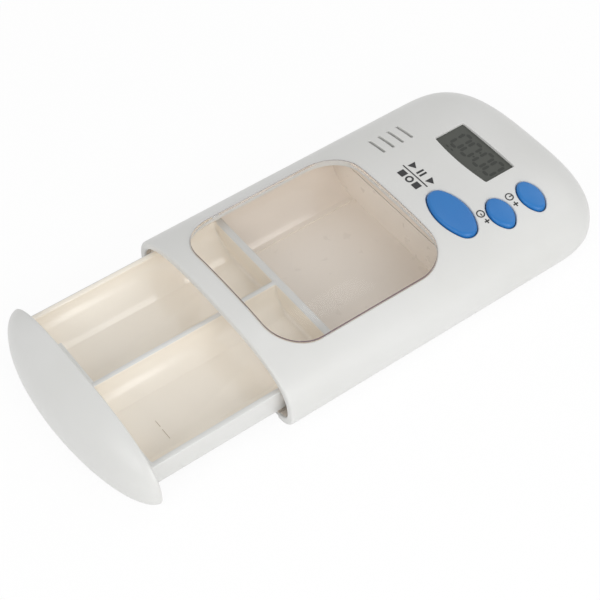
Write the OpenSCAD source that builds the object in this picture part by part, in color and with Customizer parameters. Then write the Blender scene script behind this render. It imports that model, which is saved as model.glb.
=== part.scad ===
// Pocket pill box with a countdown timer: a sliding drawer with two
// compartments under a clear window, and a timer with three push buttons.
// The origin is the middle of the housing's underside. The drawer pulls out
// toward -Y, the display end is +Y, and +Z is up.

/* [Housing] */
// Width of the housing
body_w = 54; // [50:0.5:60]
// Length of the timer end, from the window to the housing's rear end
timer_l = 41.1; // [38:0.1:46]
// Height of the housing at the crown
body_h = 15; // [15:0.1:17]
// Height of the widest line of the side
waist_h = 3.6; // [3:0.1:4]
// Squareness of the cross-section, 2 is an ellipse
section_power = 2.65; // [2.4:0.05:3]
// Length of the rounded rear end
rear_round = 18.4; // [16:0.1:21]
// Squareness of the rear end in plan
rear_power = 3.1; // [2.6:0.05:3.4]
// Roll of the lower edge inward
lower_roll = 3.4; // [2.8:0.1:3.6]
// Wall thickness of the housing
wall = 1.8; // [1.6:0.1:2]

/* [Drawer] */
// How far the drawer is pulled out
pulled_out = 29.9; // [20:0.1:31]
// Further pull from there to the stop
pull_left = 12; // [6:0.5:13]
// Depth of the rounded front cap
cap_depth = 8.3; // [7:0.1:10]
// Gap between the drawer box and the housing's side wall, on each side
drawer_side = 2.4; // [2.2:0.1:3.4]
// Height of the drawer walls above the underside
tray_top = 8.3; // [7.6:0.1:8.6]
// Thickness of the drawer walls
tray_wall = 1.3; // [1:0.1:1.6]
// Thickness of the drawer floor
tray_floor = 1.2; // [1:0.1:1.5]
// Radius of the coves along the compartment floors
cove_r = 4.7; // [3:0.1:5]
// Middle of the long divider across the drawer
divider_x = -0.5; // [-2:0.1:2]
// Thickness of the long divider
divider_t = 1.2; // [1:0.1:1.6]

/* [Window] */
// Width of the clear window
window_w = 39.4; // [34:0.1:39.6]
// Length of the clear window
window_l = 42; // [38:0.1:44]
// Distance of the window from the mouth
window_y = 4.5; // [4:0.1:7]
// Corner radius of the window
window_r = 8.4; // [6:0.1:10]
// Thickness of the clear pane
pane_t = 1.3; // [1:0.1:1.5]
// How far the pane stands above the housing
pane_proud = 0.35; // [0.1:0.05:0.5]

/* [Display] */
// Middle of the display opening across the housing
lcd_x = -0.7; // [-2:0.1:0]
// Middle of the display opening along the timer end, 1 is the rear end
lcd_at = 0.547; // [0.54:0.001:0.555]
// Width of the display opening
lcd_w = 16; // [13:0.1:16.4]
// Height of the display opening
lcd_h = 8; // [6:0.1:8.4]
// Thickness of the display glass
lcd_t = 1.6; // [1.2:0.1:1.8]

/* [Buttons] */
// Middle of the large button from the housing's side
start_side = 16.3; // [16:0.1:18]
// Gap between the window and the large button
start_gap = 2.95; // [2.9:0.05:3.4]
// Length of the large button
start_w = 13.9; // [12:0.1:14.4]
// Width of the large button
start_h = 7.9; // [6:0.1:8]
// Middle of the small buttons from the housing's side
small_side = 10.7; // [10.6:0.1:11.4]
// Middle of the hour button along the timer end
hour_at = 0.382; // [0.378:0.001:0.39]
// Middle of the minute button along the timer end
minute_at = 0.585; // [0.58:0.001:0.588]
// Length of a small button
small_w = 7.7; // [6.6:0.1:8]
// Width of a small button
small_h = 5.6; // [4.6:0.1:5.8]
// Height of the domed tops above the housing
button_rise = 1; // [0.8:0.1:1.6]
// Travel of a button when it is pressed
button_travel = 0.5; // [0.4:0.05:0.6]

/* [Sound slots] */
// Number of sound slots
slot_count = 4; // [2:1:4]
// Distance between the slots
slot_pitch = 2.55; // [2:0.1:2.8]
// Length of a slot
slot_l = 5.6; // [4:0.1:6]
// Width of a slot
slot_w = 0.7; // [0.5:0.05:0.9]

/* [Power] */
// Diameter of the coin cell
cell_d = 20; // [20:0.1:20.2]
// Thickness of the coin cell
cell_t = 3.2; // [3:0.1:3.2]
// Turn of the battery door from locked to free
door_turn = 45; // [30:1:50]

/* [Clearances] */
// Gap beside a sliding piece, on each side
slide_gap = 0.3; // [0.2:0.05:0.5]
// Gap beneath a running face
run_gap = 0.1; // [0.05:0.05:0.15]
// Gap around a button in its hole
button_gap = 0.2; // [0.1:0.05:0.25]
// Gap at a seam between two fixed mouldings
seam_gap = 0.15; // [0.1:0.05:0.2]

/* [Hidden] */
$fn = 48;

white = [0.87, 0.87, 0.86];
cream = [0.88, 0.84, 0.79];
blue = [0.2, 0.5, 0.8];
steel = [0.72, 0.73, 0.75];
copper = [0.83, 0.68, 0.35];
green = [0.12, 0.38, 0.24];
black = [0.08, 0.08, 0.09];

half_w = body_w / 2;
window_end = window_y + window_l;
body_l = window_end + timer_l;
rear_start = body_l - rear_round;
mouth_y = -body_l / 2;
plate_t = 1.2;
plate_inset = lower_roll + 1.2;
inner_half = half_w - wall;
roof_in = body_h - wall;

// Heights inside the timer bay, from the underside upward.
board_t = 1;
board_top = plate_t + cell_t + 3.6 + board_t;
flange_t = 0.6;
flange_over = 0.6;
flange_in = wall + 0.4;
keypad_t = 0.6;
plunger_low = board_top + keypad_t + 1.3;
grid_low = body_h - wall - 1.6;
lcd_top = body_h - 1.6;
lcd_y = window_end + timer_l * lcd_at;
lcd_glass_w = lcd_w + 3.8;
lcd_glass_h = lcd_h + 4.4;
frame_w = lcd_glass_w + 1;
frame_h = lcd_glass_h + 0.8;

// The bay, and the bulkhead between it and the timer.
window_rim = 1.2;
bay_end = window_end + window_rim + seam_gap;
bulkhead_t = 1.3;

// A place along the timer end, as a share of its length.
function along(share) = window_end + timer_l * share;

// Middles of the buttons.
start_x = half_w - start_side;
start_y = window_end + start_gap + start_h / 2;
small_x = half_w - small_side;
hour_y = along(hour_at);
minute_y = along(minute_at);

// Fastener places: x and distance from the mouth.
side_screw_x = half_w - 7.6;
rear_screw_y = body_l - 9.2;
screw_spots = [[-side_screw_x, along(0.158)], [side_screw_x, along(0.158)],
               [-half_w / 2, rear_screw_y], [half_w / 2, rear_screw_y]];
post_spots = [[-half_w * 0.59, along(0.65)], [half_w * 0.2, along(0.768)],
              [-half_w * 0.12, along(0.163)]];
screw_hole_r = 1.1;
boss_r = 2.4;

// The drawer inside the bay.
runner_h = 0.2;
tray_low = plate_t + runner_h + run_gap;
tray_half = half_w - wall - drawer_side;
tray_l = bay_end - 0.4;
tray_y0 = -pulled_out;
tray_y1 = tray_y0 + tray_l;
guide_x = tray_half + slide_gap;
nib_out = 1.3;
nib_l = 1.4;
stop_y1 = tray_y1 - nib_l - pull_left - slide_gap;

// The coin cell's well and its bayonet door, from the middle outward.
cell_y = along(0.484);
cell_r = cell_d / 2;
well_r = cell_r + 0.3;
door_r = well_r + 0.6;
lug_r = door_r + 1.3;
chamber_r = lug_r + slide_gap;
well_out = chamber_r + 1.2;
lug_low = plate_t + run_gap;
lug_top = lug_low + 0.9;
cell_low = lug_top + 0.05;
cell_top = cell_low + cell_t;
well_roof = cell_top + 0.4;
well_top = well_roof + 0.7;
lug_angle = 24;

sound_x = -half_w * 0.547;
sound_y = along(0.179);
buzzer_r = 4.2;
buzzer_h = grid_low - board_top - 0.4;
buzzer_x = -half_w * 0.5;
buzzer_y = sound_y + slot_pitch * 1.5;

// The circuit board's outline.
board_half = half_w - 8.6;
board_y0 = bay_end + bulkhead_t + 0.6;
board_y1 = rear_screw_y - boss_r - 0.5;
board_low = board_top - board_t;

// Height of the housing's outer surface at x, between the rounded ends.
function skin(x, half = half_w, top = body_h) =
    waist_h + (top - waist_h)
    * pow(1 - pow(abs(x) / half, section_power), 1 / section_power);

// A signed power, for the rounded outlines.
function bend(v, p) = sign(v) * pow(abs(v), p);

// Plan outline: an elliptical front, straight sides and a squarer rear end.
// nf and nr are the steps of each quarter at the front and at the rear.
function outline(a, front, rear, nf = 2, nr = 18) = concat(
    [for (i = [0 : nf]) let (t = -90 + 90 * i / nf)
        [a * cos(t), front * sin(t)]],
    [for (i = [0 : nr - 1]) let (t = 90 * (i + 0.6) / nr)
        [a * bend(cos(t), 2 / rear_power),
         rear_start + rear * bend(sin(t), 2 / rear_power)]],
    [[0, rear_start + rear]],
    [for (i = [nr - 1 : -1 : 0]) let (t = 90 * (i + 0.6) / nr)
        [-a * bend(cos(t), 2 / rear_power),
         rear_start + rear * bend(sin(t), 2 / rear_power)]],
    [for (i = [nf : -1 : 1]) let (t = -90 + 90 * i / nf)
        [-a * cos(t), front * sin(t)]]);

// One ring of the soft outer form, at the height z.
function ring(a, front, rear, z, nf, nr) =
    [for (p = outline(a, front, rear, nf, nr)) [p[0], p[1], z]];

// Rings from the underside over the waist to the crown.
function form_rings(skin_in, low, roll, nf, nr, steps = 11) = let (
    a = half_w - skin_in,
    f = cap_depth - skin_in,
    r = rear_round - skin_in,
    top = body_h - skin_in) concat(
    [for (i = [0 : 3]) let (t = 22.5 * i)
        ring(a - roll * (1 - sin(t)), f - roll * (1 - sin(t)),
             r - roll * (1 - sin(t)), low + (waist_h - low) * (1 - cos(t)),
             nf, nr)],
    [for (i = [0 : steps]) let (t = 80 * pow(i / steps, 1.1),
        c = pow(cos(t), 2 / section_power),
        s = pow(sin(t), 2 / section_power))
        ring(a * c, f * pow(c, 2.2), r * c, waist_h + (top - waist_h) * s,
             nf, nr)]);

// A closed solid through a stack of rings with equal point counts.
module loft(rings) {
    n = len(rings[0]);
    m = len(rings);
    polyhedron(
        points = [for (r = rings) each r],
        faces = concat(
            [[for (i = [0 : n - 1]) i]],
            [for (k = [0 : m - 2], i = [0 : n - 1]) let (j = (i + 1) % n)
                [k * n + i, (k + 1) * n + i, (k + 1) * n + j, k * n + j]],
            [[for (i = [n - 1 : -1 : 0]) (m - 1) * n + i]]),
        convexity = 6);
}

// The soft outer form of the closed pill box, drawn with its mouth at y = 0.
module form(skin_in = 0, low = 0, roll = lower_roll, nf = 2, nr = 18) {
    loft(form_rings(skin_in, low, roll, nf, nr));
}

// The hollow of the housing, a wall thickness inside the form.
module hollow(extra = 0) {
    form(wall + extra, plate_t, lower_roll - 0.6);
}

// Moves a piece from mouth coordinates to the origin's.
module at_mouth() {
    translate([0, mouth_y, 0]) children();
}

// An oval prism, the plan shape of the buttons.
module oval(w, h, z0, z1) {
    translate([0, 0, z0])
        linear_extrude(z1 - z0)
            oval_face(w, h);
}

// Oval face: two large arcs that run smoothly into two small end arcs.
module oval_face(w, h) {
    e = h * 0.3;
    far = w / 2 - e;
    big = (far * far + h * h / 4 - e * e) / (h - 2 * e);
    meet = far * big / (big - e);
    union() {
        intersection() {
            translate([0, h / 2 - big]) circle(big, $fn = 96);
            translate([0, big - h / 2]) circle(big, $fn = 96);
            square([2 * meet, h + 1], center = true);
        }
        for (s = [-1, 1])
            translate([s * far, 0]) circle(e);
    }
}

// A rectangle with round corners.
module round_face(w, l, r) {
    square([w - 2 * r, l], center = true);
    square([w, l - 2 * r], center = true);
    for (x = [-1, 1], y = [-1, 1])
        translate([x * (w / 2 - r), y * (l / 2 - r)]) circle(r);
}

// A band that follows the crown, between two depths below the skin.
module crown_band(w, top_in, low_in, y0, y1) {
    n = 20;
    xs = [for (i = [0 : n]) -w / 2 + w * i / n];
    up = [for (x = xs) [x, skin(x) - top_in]];
    down = [for (i = [n : -1 : 0]) [xs[i], skin(xs[i]) - low_in]];
    translate([0, y1, 0])
        rotate([90, 0, 0])
            linear_extrude(y1 - y0)
                polygon(concat(up, down));
}

// Places of the three buttons, with their face sizes.
buttons = [[start_x, start_y, start_w, start_h],
           [small_x, hour_y, small_w, small_h],
           [small_x, minute_y, small_w, small_h]];

module at_button(k) {
    translate([buttons[k][0], buttons[k][1], 0]) children();
}

// Solid bosses, collars and ribs that the upper moulding carries inside.
module upper_inner() {
    intersection() {
        form(wall / 2);
        union() {
            for (s = screw_spots) {
                tall = s[1] > cell_y ? body_h
                                     : board_top + 0.6 - plate_t - 1.6;
                translate([s[0], s[1], plate_t + 1.6])
                    cylinder(r = boss_r, h = tall);
                translate([s[0] > 0 ? s[0] : -half_w, s[1] - 0.6,
                           plate_t + 1.6])
                    cube([half_w - abs(s[0]), 1.2, tall]);
            }
            for (p = post_spots)
                translate([p[0], p[1], board_top])
                    cylinder(r = 1.7, h = body_h);
            translate([lcd_x - frame_w / 2, lcd_y - frame_h / 2,
                       lcd_top - 0.6])
                cube([frame_w, frame_h, 4]);
            // side guides, hold-down ribs and stops for the drawer
            for (s = [-1, 1]) {
                translate([s > 0 ? guide_x : -half_w, 1.5, 2.2])
                    cube([half_w - guide_x, bay_end - 2, 2.3]);
                translate([s > 0 ? guide_x - 1 : -guide_x,
                           1.5, tray_top + slide_gap])
                    cube([1, bay_end - 2, 6]);
                translate([s > 0 ? guide_x : -half_w, 1.5, 4.5])
                    cube([half_w - guide_x, stop_y1 - 1.5, 4]);
            }
            // rib that comes down to the bulkhead
            translate([-half_w, bay_end, board_top + 0.9])
                cube([body_w, 0.6, body_h]);
            // grid that backs the sound slots
            translate([sound_x - slot_l / 2 - 0.55, sound_y - 1.6, grid_low])
                cube([slot_l + 1.1, slot_pitch * (slot_count - 1) + 3.2, 3]);
        }
    }
}

module upper_housing() {
    color(white) at_mouth() difference() {
        union() {
            difference() {
                intersection() {
                    form();
                    translate([-40, 0, -1]) cube([80, 120, 30]);
                }
                hollow();
            }
            upper_inner();
        }
        // opening for the base plate
        translate([0, 0, -1]) linear_extrude(1 + plate_t + 0.2)
            polygon(outline(half_w - plate_inset, 12,
                            rear_round - plate_inset));
        // window
        translate([0, window_y + window_l / 2, tray_top + 1])
            linear_extrude(12)
                round_face(window_w + 2 * seam_gap,
                           window_l + 2 * seam_gap, window_r);
        // display opening, with a pocket that the glass sits in
        translate([lcd_x, lcd_y, 11]) linear_extrude(8)
            round_face(lcd_w, lcd_h, 0.8);
        translate([lcd_x - lcd_glass_w / 2 - seam_gap,
                   lcd_y - lcd_glass_h / 2 - seam_gap, 11])
            cube([lcd_glass_w + 2 * seam_gap, lcd_glass_h + 2 * seam_gap,
                  lcd_top - 11]);
        for (k = [0 : 2])
            at_button(k)
                oval(buttons[k][2] + 2 * button_gap,
                     buttons[k][3] + 2 * button_gap, board_top + 0.9, 20);
        // sound slots through the roof into a shallow hopper
        for (i = [0 : slot_count - 1])
            translate([sound_x, sound_y + i * slot_pitch, 10])
                linear_extrude(8)
                    round_face(slot_l, slot_w, slot_w / 2 - 0.01);
        for (s = screw_spots)
            translate([s[0], s[1], 0])
                cylinder(r = screw_hole_r - 0.15, h = board_top - 0.2);
        for (p = post_spots)
            translate([p[0], p[1], board_top - 1])
                cylinder(r = 0.7, h = 4.4);
    }
}

module base_plate() {
    inset = plate_inset + seam_gap;
    color(white) at_mouth() difference() {
        union() {
            intersection() {
                linear_extrude(plate_t)
                    polygon(outline(half_w - inset, 12,
                                    rear_round - inset));
                translate([-40, 0.2, -1]) cube([80, 120, 5]);
            }
            // runners that carry the drawer
            for (x = [-tray_half * 0.66, tray_half * 0.66])
                translate([x - 0.6, 2, plate_t - 0.1])
                    cube([1.2, bay_end - 3, runner_h + 0.1]);
            // bulkhead between the bay and the timer
            intersection() {
                hollow(0.2);
                translate([-half_w, bay_end, plate_t / 2])
                    cube([body_w, bulkhead_t, board_top + 0.6 - plate_t / 2]);
            }
            for (s = screw_spots)
                translate([s[0], s[1], plate_t - 0.2])
                    cylinder(r = boss_r - 0.2, h = 1.8);
            // well for the coin cell
            translate([0, cell_y, 0]) rotate_extrude($fn = 96)
                polygon([[chamber_r, 1], [well_out, 1],
                         [well_out, well_top], [0, well_top],
                         [0, well_roof], [well_r, well_roof],
                         [well_r, lug_top + 0.3],
                         [chamber_r, lug_top + 0.3]]);
            // click bump for the closed drawer
            translate([0, 3.5, plate_t]) rotate([0, 90, 0])
                cylinder(r = 0.3, h = 8, center = true);
        }
        for (s = screw_spots)
            translate([s[0], s[1], -1]) {
                cylinder(r = screw_hole_r, h = 8);
                cylinder(r = 2.1, h = 2.6);
            }
        translate([0, cell_y, -1])
            cylinder(r = door_r + run_gap, h = 1 + plate_t + 0.05,
                     $fn = 96);
        // notches that let the lugs in
        translate([0, cell_y, -1])
            for (a = [0, 120, 240])
                rotate([0, 0, a + door_turn])
                    rotate_extrude(angle = lug_angle + 4, $fn = 96)
                        translate([door_r - 1, 0])
                            square([1 + lug_r + 0.2 - door_r,
                                    1 + plate_t + 0.1]);
        // ways for the contact tabs through the well
        translate([-1.6, cell_y + 3.2, 3]) cube([3.2, 2.2, 8]);
        translate([cell_r - 0.5, cell_y - 1.7, lug_top + 0.6])
            cube([1.4, 3.4, 8]);
    }
}

module screw(head_r, head_h, shank_r, length) {
    difference() {
        cylinder(r = head_r, h = head_h);
        for (a = [0, 90])
            rotate([0, 0, a])
                translate([-head_r * 0.6, -0.2, -0.1])
                    cube([head_r * 1.2, 0.4, 0.5]);
    }
    translate([0, 0, head_h - 0.1]) cylinder(r = shank_r, h = length);
}

module housing_screws() {
    color(steel) at_mouth()
        for (s = screw_spots)
            translate([s[0], s[1], 0.4])
                screw(1.95, 1.2, screw_hole_r - 0.2, 7);
}

// Clear moulding like a shallow hat: a crowned pane, a rim wall and a flange.
module window_lens() {
    color([0.8, 0.85, 0.88, 0.3]) at_mouth() union() {
        intersection() {
            crown_band(window_w + 2, -pane_proud, wall + 0.5,
                       window_y - 1, window_y + window_l + 1);
            translate([0, window_y + window_l / 2, 5])
                linear_extrude(20)
                    difference() {
                        round_face(window_w, window_l, window_r);
                        round_face(window_w - 2, window_l - 2,
                                   window_r - 1);
                    }
        }
        intersection() {
            crown_band(window_w + 2, -pane_proud, pane_t - pane_proud,
                       window_y - 1, window_y + window_l + 1);
            translate([0, window_y + window_l / 2, 5])
                linear_extrude(20)
                    round_face(window_w - 1, window_l - 1,
                               window_r - 0.5);
        }
        // flange glued to the underside of the roof
        intersection() {
            crown_band(window_w + 4, wall + 0.45, wall + 1.2,
                       window_y - 2, window_y + window_l + 1.6);
            translate([0, window_y + window_l / 2, 5])
                linear_extrude(20)
                    difference() {
                        round_face(window_w + 3, window_l + 2.4,
                                   window_r + 1);
                        round_face(window_w - 2, window_l - 2,
                                   window_r - 1);
                    }
        }
    }
}

module lcd_panel() {
    color([0.32, 0.34, 0.31]) at_mouth()
        translate([lcd_x, lcd_y, lcd_top]) {
            translate([-lcd_glass_w / 2, -lcd_glass_h / 2 + 1.6,
                       -lcd_t / 2])
                cube([lcd_glass_w, lcd_glass_h - 1.6, lcd_t / 2]);
            translate([-lcd_glass_w / 2, -lcd_glass_h / 2, -lcd_t])
                cube([lcd_glass_w, lcd_glass_h, lcd_t / 2]);
        }
}

module lcd_frame() {
    color(black) at_mouth() difference() {
        translate([lcd_x - frame_w / 2, lcd_y - frame_h / 2, board_top])
            cube([frame_w, frame_h, lcd_top - 1 - board_top]);
        translate([lcd_x - lcd_glass_w / 2, lcd_y - lcd_glass_h / 2,
                   lcd_top - lcd_t])
            cube([lcd_glass_w, lcd_glass_h, 5]);
        translate([lcd_x - lcd_glass_w / 2 + 1, lcd_y - 3.2, board_top - 1])
            cube([lcd_glass_w - 2, 6.4, 8]);
        for (s = [-1, 1])
            translate([lcd_x - lcd_glass_w / 2 + 1,
                       lcd_y + s * 4.9 - 0.9, board_top - 1])
                cube([lcd_glass_w - 2, 1.8, 8]);
    }
}

module zebra_strips() {
    h = lcd_top - lcd_t - board_top;
    layers = 5;
    at_mouth()
        for (s = [-1, 1], i = [0 : layers - 1])
            color(i % 2 == 0 ? black : [0.7, 0.7, 0.7])
                translate([lcd_x - lcd_glass_w / 2 + 1.1,
                           lcd_y + s * 4.9 - 0.8 + 1.6 * i / layers,
                           board_top])
                    cube([lcd_glass_w - 2.2, 1.6 / layers, h]);
}

module circuit_board() {
    color(green) at_mouth() difference() {
        union() {
            translate([-board_half, board_y0, board_low])
                cube([2 * board_half, board_y1 - board_y0, board_t]);
            translate([-half_w / 2 + 4, board_y1 - 1, board_low])
                cube([body_w / 2 - 8, 5.6, board_t]);
        }
        for (p = post_spots)
            translate([p[0], p[1], 0]) cylinder(r = 0.95, h = 20);
        for (k = [0, 1])
            translate([screw_spots[k][0], screw_spots[k][1], 0])
                cylinder(r = boss_r + 0.4, h = 20);
    }
}

module board_screws() {
    color(steel) at_mouth()
        for (p = post_spots)
            translate([p[0], p[1], board_low - 1])
                screw(1.5, 1, 0.65, 4.2);
}

module chip_cover() {
    color(black) at_mouth()
        translate([half_w * 0.18, along(0.2), board_low]) rotate_extrude()
            intersection() {
                translate([0, 6.6]) circle(7.6, $fn = 96);
                translate([0, -1]) square([6, 1]);
            }
}

module quartz_crystal() {
    color(steel) at_mouth()
        translate([-half_w * 0.4, along(0.155), board_low - 1])
            rotate([0, 90, 0]) {
                cylinder(r = 1, h = 6, center = true);
                for (y = [-0.35, 0.35])
                    translate([0, y, 3.6])
                        cylinder(r = 0.15, h = 1.4, center = true,
                                 $fn = 16);
            }
}

module board_parts() {
    low = board_low;
    at_mouth() {
        for (p = [[-half_w * 0.56, along(0.42)], [-half_w * 0.56, along(0.5)],
                  [half_w * 0.57, along(0.32)], [half_w * 0.57, along(0.56)]]) {
            color([0.6, 0.5, 0.4])
                translate([p[0] - 0.6, p[1] - 0.6, low - 0.6])
                    cube([1.2, 1.2, 0.6]);
            for (s = [-1, 1])
                color(steel)
                    translate([p[0] + s * 0.8 - 0.2, p[1] - 0.6,
                               low - 0.6])
                        cube([0.4, 1.2, 0.6]);
        }
        color([0.15, 0.15, 0.2])
            translate([half_w * 0.42, along(0.13), low - 1.1])
                cube([2.8, 1.4, 1.1]);
    }
}

module buzzer() {
    color(black) at_mouth() difference() {
        translate([buzzer_x, buzzer_y, board_top])
            cylinder(r = buzzer_r, h = buzzer_h);
        translate([buzzer_x, buzzer_y, board_top + buzzer_h * 0.55])
            cylinder(r = 1.1, h = 3);
    }
}

module keypad() {
    top = plunger_low - button_travel - 0.1;
    color([0.75, 0.75, 0.72]) at_mouth() difference() {
        union() {
            translate([start_x - 5.4, start_y - 2.6, board_top])
                cube([10.4, 7, keypad_t]);
            translate([small_x - 3.2, start_y + 2.4, board_top])
                cube([4.6, minute_y + 2.8 - start_y - 2.4, keypad_t]);
            for (k = [0 : 2])
                at_button(k) translate([0, 0, board_top])
                    cylinder(r1 = 2.1, r2 = 1.5, h = top - board_top);
        }
        for (k = [0 : 2])
            at_button(k) translate([0, 0, board_top - 0.01])
                cylinder(r = 1.4, h = 0.45);
    }
}

// A domed oval push button with a flange that holds it under its collar.
module push_button(k) {
    w = buttons[k][2];
    h = buttons[k][3];
    x = buttons[k][0];
    y = buttons[k][1];
    top = skin(x) + button_rise;
    r = (h * h / 4 + 1.1 * 1.1) / (2 * 1.1);
    long_r = w * 1.7;
    tilt = atan((skin(x - w / 2) - skin(x + w / 2)) / w);
    color(blue) at_mouth() union() {
        difference() {
            at_button(k) intersection() {
                oval(w, h, board_top, top + 1);
                // dome: the back of a barrel, leaning with the shoulder
                translate([0, 0, top]) rotate([0, tilt, 0])
                    translate([0, 0, -r]) rotate([0, 90, 0])
                        rotate_extrude($fn = 96) intersection() {
                            translate([r - long_r, 0])
                                circle(long_r, $fn = 256);
                            translate([0, -w]) square([r + 1, 2 * w]);
                        }
            }
            // hollow back under a roof of even thickness
            crown_band(body_w - 2, 0.9, body_h, y - h, y + h);
        }
        // skirt, and the flange that holds it under the roof
        difference() {
            union() {
                intersection() {
                    at_button(k) oval(w, h, 1, 30);
                    crown_band(body_w - 2, 0.8, flange_in + flange_t,
                               y - h, y + h);
                }
                intersection() {
                    at_button(k) oval(w + 2 * flange_over,
                                      h + 2 * flange_over, 1, 30);
                    crown_band(body_w - 2, flange_in, flange_in + flange_t,
                               y - h, y + h);
                }
            }
            at_button(k) oval(w - 2.2, h - 2.2, 0, 31);
        }
        // plunger over the keypad's dome
        at_button(k) translate([0, 0, plunger_low])
            cylinder(r = 1.3, h = skin(x) - 0.5 - plunger_low);
    }
}

module start_stop_button() {
    push_button(0);
}

module hour_button() {
    push_button(1);
}

module minute_button() {
    push_button(2);
}

module coin_cell() {
    color(steel) at_mouth() translate([0, cell_y, 0]) union() {
        translate([0, 0, cell_low])
            cylinder(r = cell_r, h = cell_t * 0.72, $fn = 96);
        translate([0, 0, cell_low + cell_t * 0.7])
            cylinder(r = cell_r - 1.2, h = cell_t * 0.3, $fn = 96);
    }
}

module negative_contact() {
    color(copper) at_mouth() translate([0, cell_y, 0]) union() {
        translate([-1.2, -5, cell_top + 0.02]) cube([2.4, 9.9, 0.3]);
        translate([-1.2, 4.6, cell_top + 0.02])
            cube([2.4, 0.3, board_top - board_t - cell_top - 0.02]);
    }
}

module positive_contact() {
    color(copper) at_mouth() translate([0, cell_y, 0]) union() {
        translate([cell_r + 0.1, -1.4, lug_top + 0.8])
            cube([0.3, 2.8, board_top - board_t - lug_top - 0.8]);
        translate([cell_r, -0.6, lug_top + 1.2])
            cube([0.2, 1.2, 1]);
    }
}

module battery_door() {
    color(white) at_mouth() translate([0, cell_y, 0]) difference() {
        union() {
            translate([0, 0, 0.1])
                cylinder(r = door_r, h = 1.3, $fn = 96);
            translate([0, 0, 1.3]) rotate_extrude($fn = 96)
                translate([well_r - 2.4, 0])
                    square([door_r - well_r + 2.2, lug_top - 1.3]);
            for (a = [0, 120, 240])
                rotate([0, 0, a + 2])
                    rotate_extrude(angle = lug_angle, $fn = 96)
                        translate([door_r - 1, lug_low])
                            square([1 + lug_r - door_r,
                                    lug_top - lug_low]);
        }
        // coin slot with round ends
        translate([0, 0, -1]) linear_extrude(1.8)
            round_face(13, 1.8, 0.89);
    }
}

// Cross-section of one compartment: straight walls over coved corners.
module well_section(w, d) {
    union() {
        translate([-w / 2, cove_r]) square([w, d + 5 - cove_r]);
        translate([-w / 2 + cove_r, 0]) square([w - 2 * cove_r, d]);
        for (s = [-1, 1])
            translate([s * (w / 2 - cove_r), cove_r]) circle(cove_r);
    }
}

// One compartment of the drawer between x0 and x1.
module compartment(x0, x1) {
    y0 = tray_y0 + tray_wall;
    y1 = tray_y1 - tray_wall;
    w = x1 - x0;
    low = tray_low + tray_floor;
    intersection() {
        translate([(x0 + x1) / 2, y1, low])
            rotate([90, 0, 0])
                linear_extrude(y1 - y0)
                    well_section(w, tray_top - low);
        translate([(x0 + x1) / 2, (y0 + y1) / 2, 0])
            linear_extrude(30)
                round_face(w, y1 - y0, 1.8);
    }
}

module tray() {
    edge = 1.8;
    color(cream) at_mouth() difference() {
        union() {
            translate([0, tray_y1, tray_low])
                rotate([90, 0, 0])
                    linear_extrude(tray_l) {
                        translate([-tray_half, edge])
                            square([2 * tray_half,
                                    tray_top - tray_low - edge]);
                        translate([-tray_half + edge, 0])
                            square([2 * (tray_half - edge), edge + 1]);
                        for (s = [-1, 1])
                            translate([s * (tray_half - edge), edge])
                                circle(edge);
                    }
            // nibs that meet the stops inside the mouth
            for (s = [-1, 1])
                translate([s > 0 ? tray_half - 0.5
                                 : -tray_half - nib_out + slide_gap,
                           tray_y1 - nib_l, tray_top - 3.6])
                    cube([nib_out + 0.5 - slide_gap, nib_l, 2.6]);
            // low inner rib on the front wall
            translate([-tray_half * 0.58, tray_y0 + tray_wall - 0.1,
                       tray_top - 0.9])
                cube([tray_half * 0.57, 1.4, 0.9]);
        }
        compartment(-tray_half + tray_wall, divider_x - divider_t / 2);
        compartment(divider_x + divider_t / 2, tray_half - tray_wall);
        // click groove under the rear
        translate([0, tray_y1 - 1, tray_low]) rotate([0, 90, 0])
            cylinder(r = 0.45, h = 9, center = true);
    }
}

module tray_front() {
    color(white) at_mouth() translate([0, tray_y0, 0]) intersection() {
        form(low = 0.2, nf = 20, nr = 1);
        translate([-40, -30, -1]) cube([80, 30, 30]);
        // hollow behind the rounded front, closed by a rear plate with ribs
        difference() {
            translate([-40, -30, -1]) cube([80, 40, 30]);
            difference() {
                form(wall, plate_t, lower_roll - 0.6, nf = 20, nr = 1);
                translate([-40, -1.4, -1]) cube([80, 120, 30]);
                for (x = [-14, 0, 14])
                    translate([x - 0.6, -20, -1]) cube([1.2, 30, 30]);
            }
        }
    }
}

upper_housing();
base_plate();
housing_screws();
window_lens();
lcd_panel();
lcd_frame();
zebra_strips();
circuit_board();
board_screws();
chip_cover();
quartz_crystal();
board_parts();
buzzer();
keypad();
start_stop_button();
hour_button();
minute_button();
coin_cell();
negative_contact();
positive_contact();
battery_door();
tray();
tray_front();
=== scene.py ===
"""Looks of the pocket pill box with a countdown timer.

Sizes are in millimetres, as in the part's source. The origin is the middle of
the housing's underside, the drawer pulls out toward -Y, and +Z is up. Places
given "from the mouth" are measured along Y from the housing's open end.
"""
from __future__ import annotations

import logging
import math
from contextlib import contextmanager
from dataclasses import dataclass, field
from enum import Enum
from typing import Any, Callable, Iterator, Sequence

import bmesh
import bpy
from mathutils import Matrix, Vector


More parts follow.
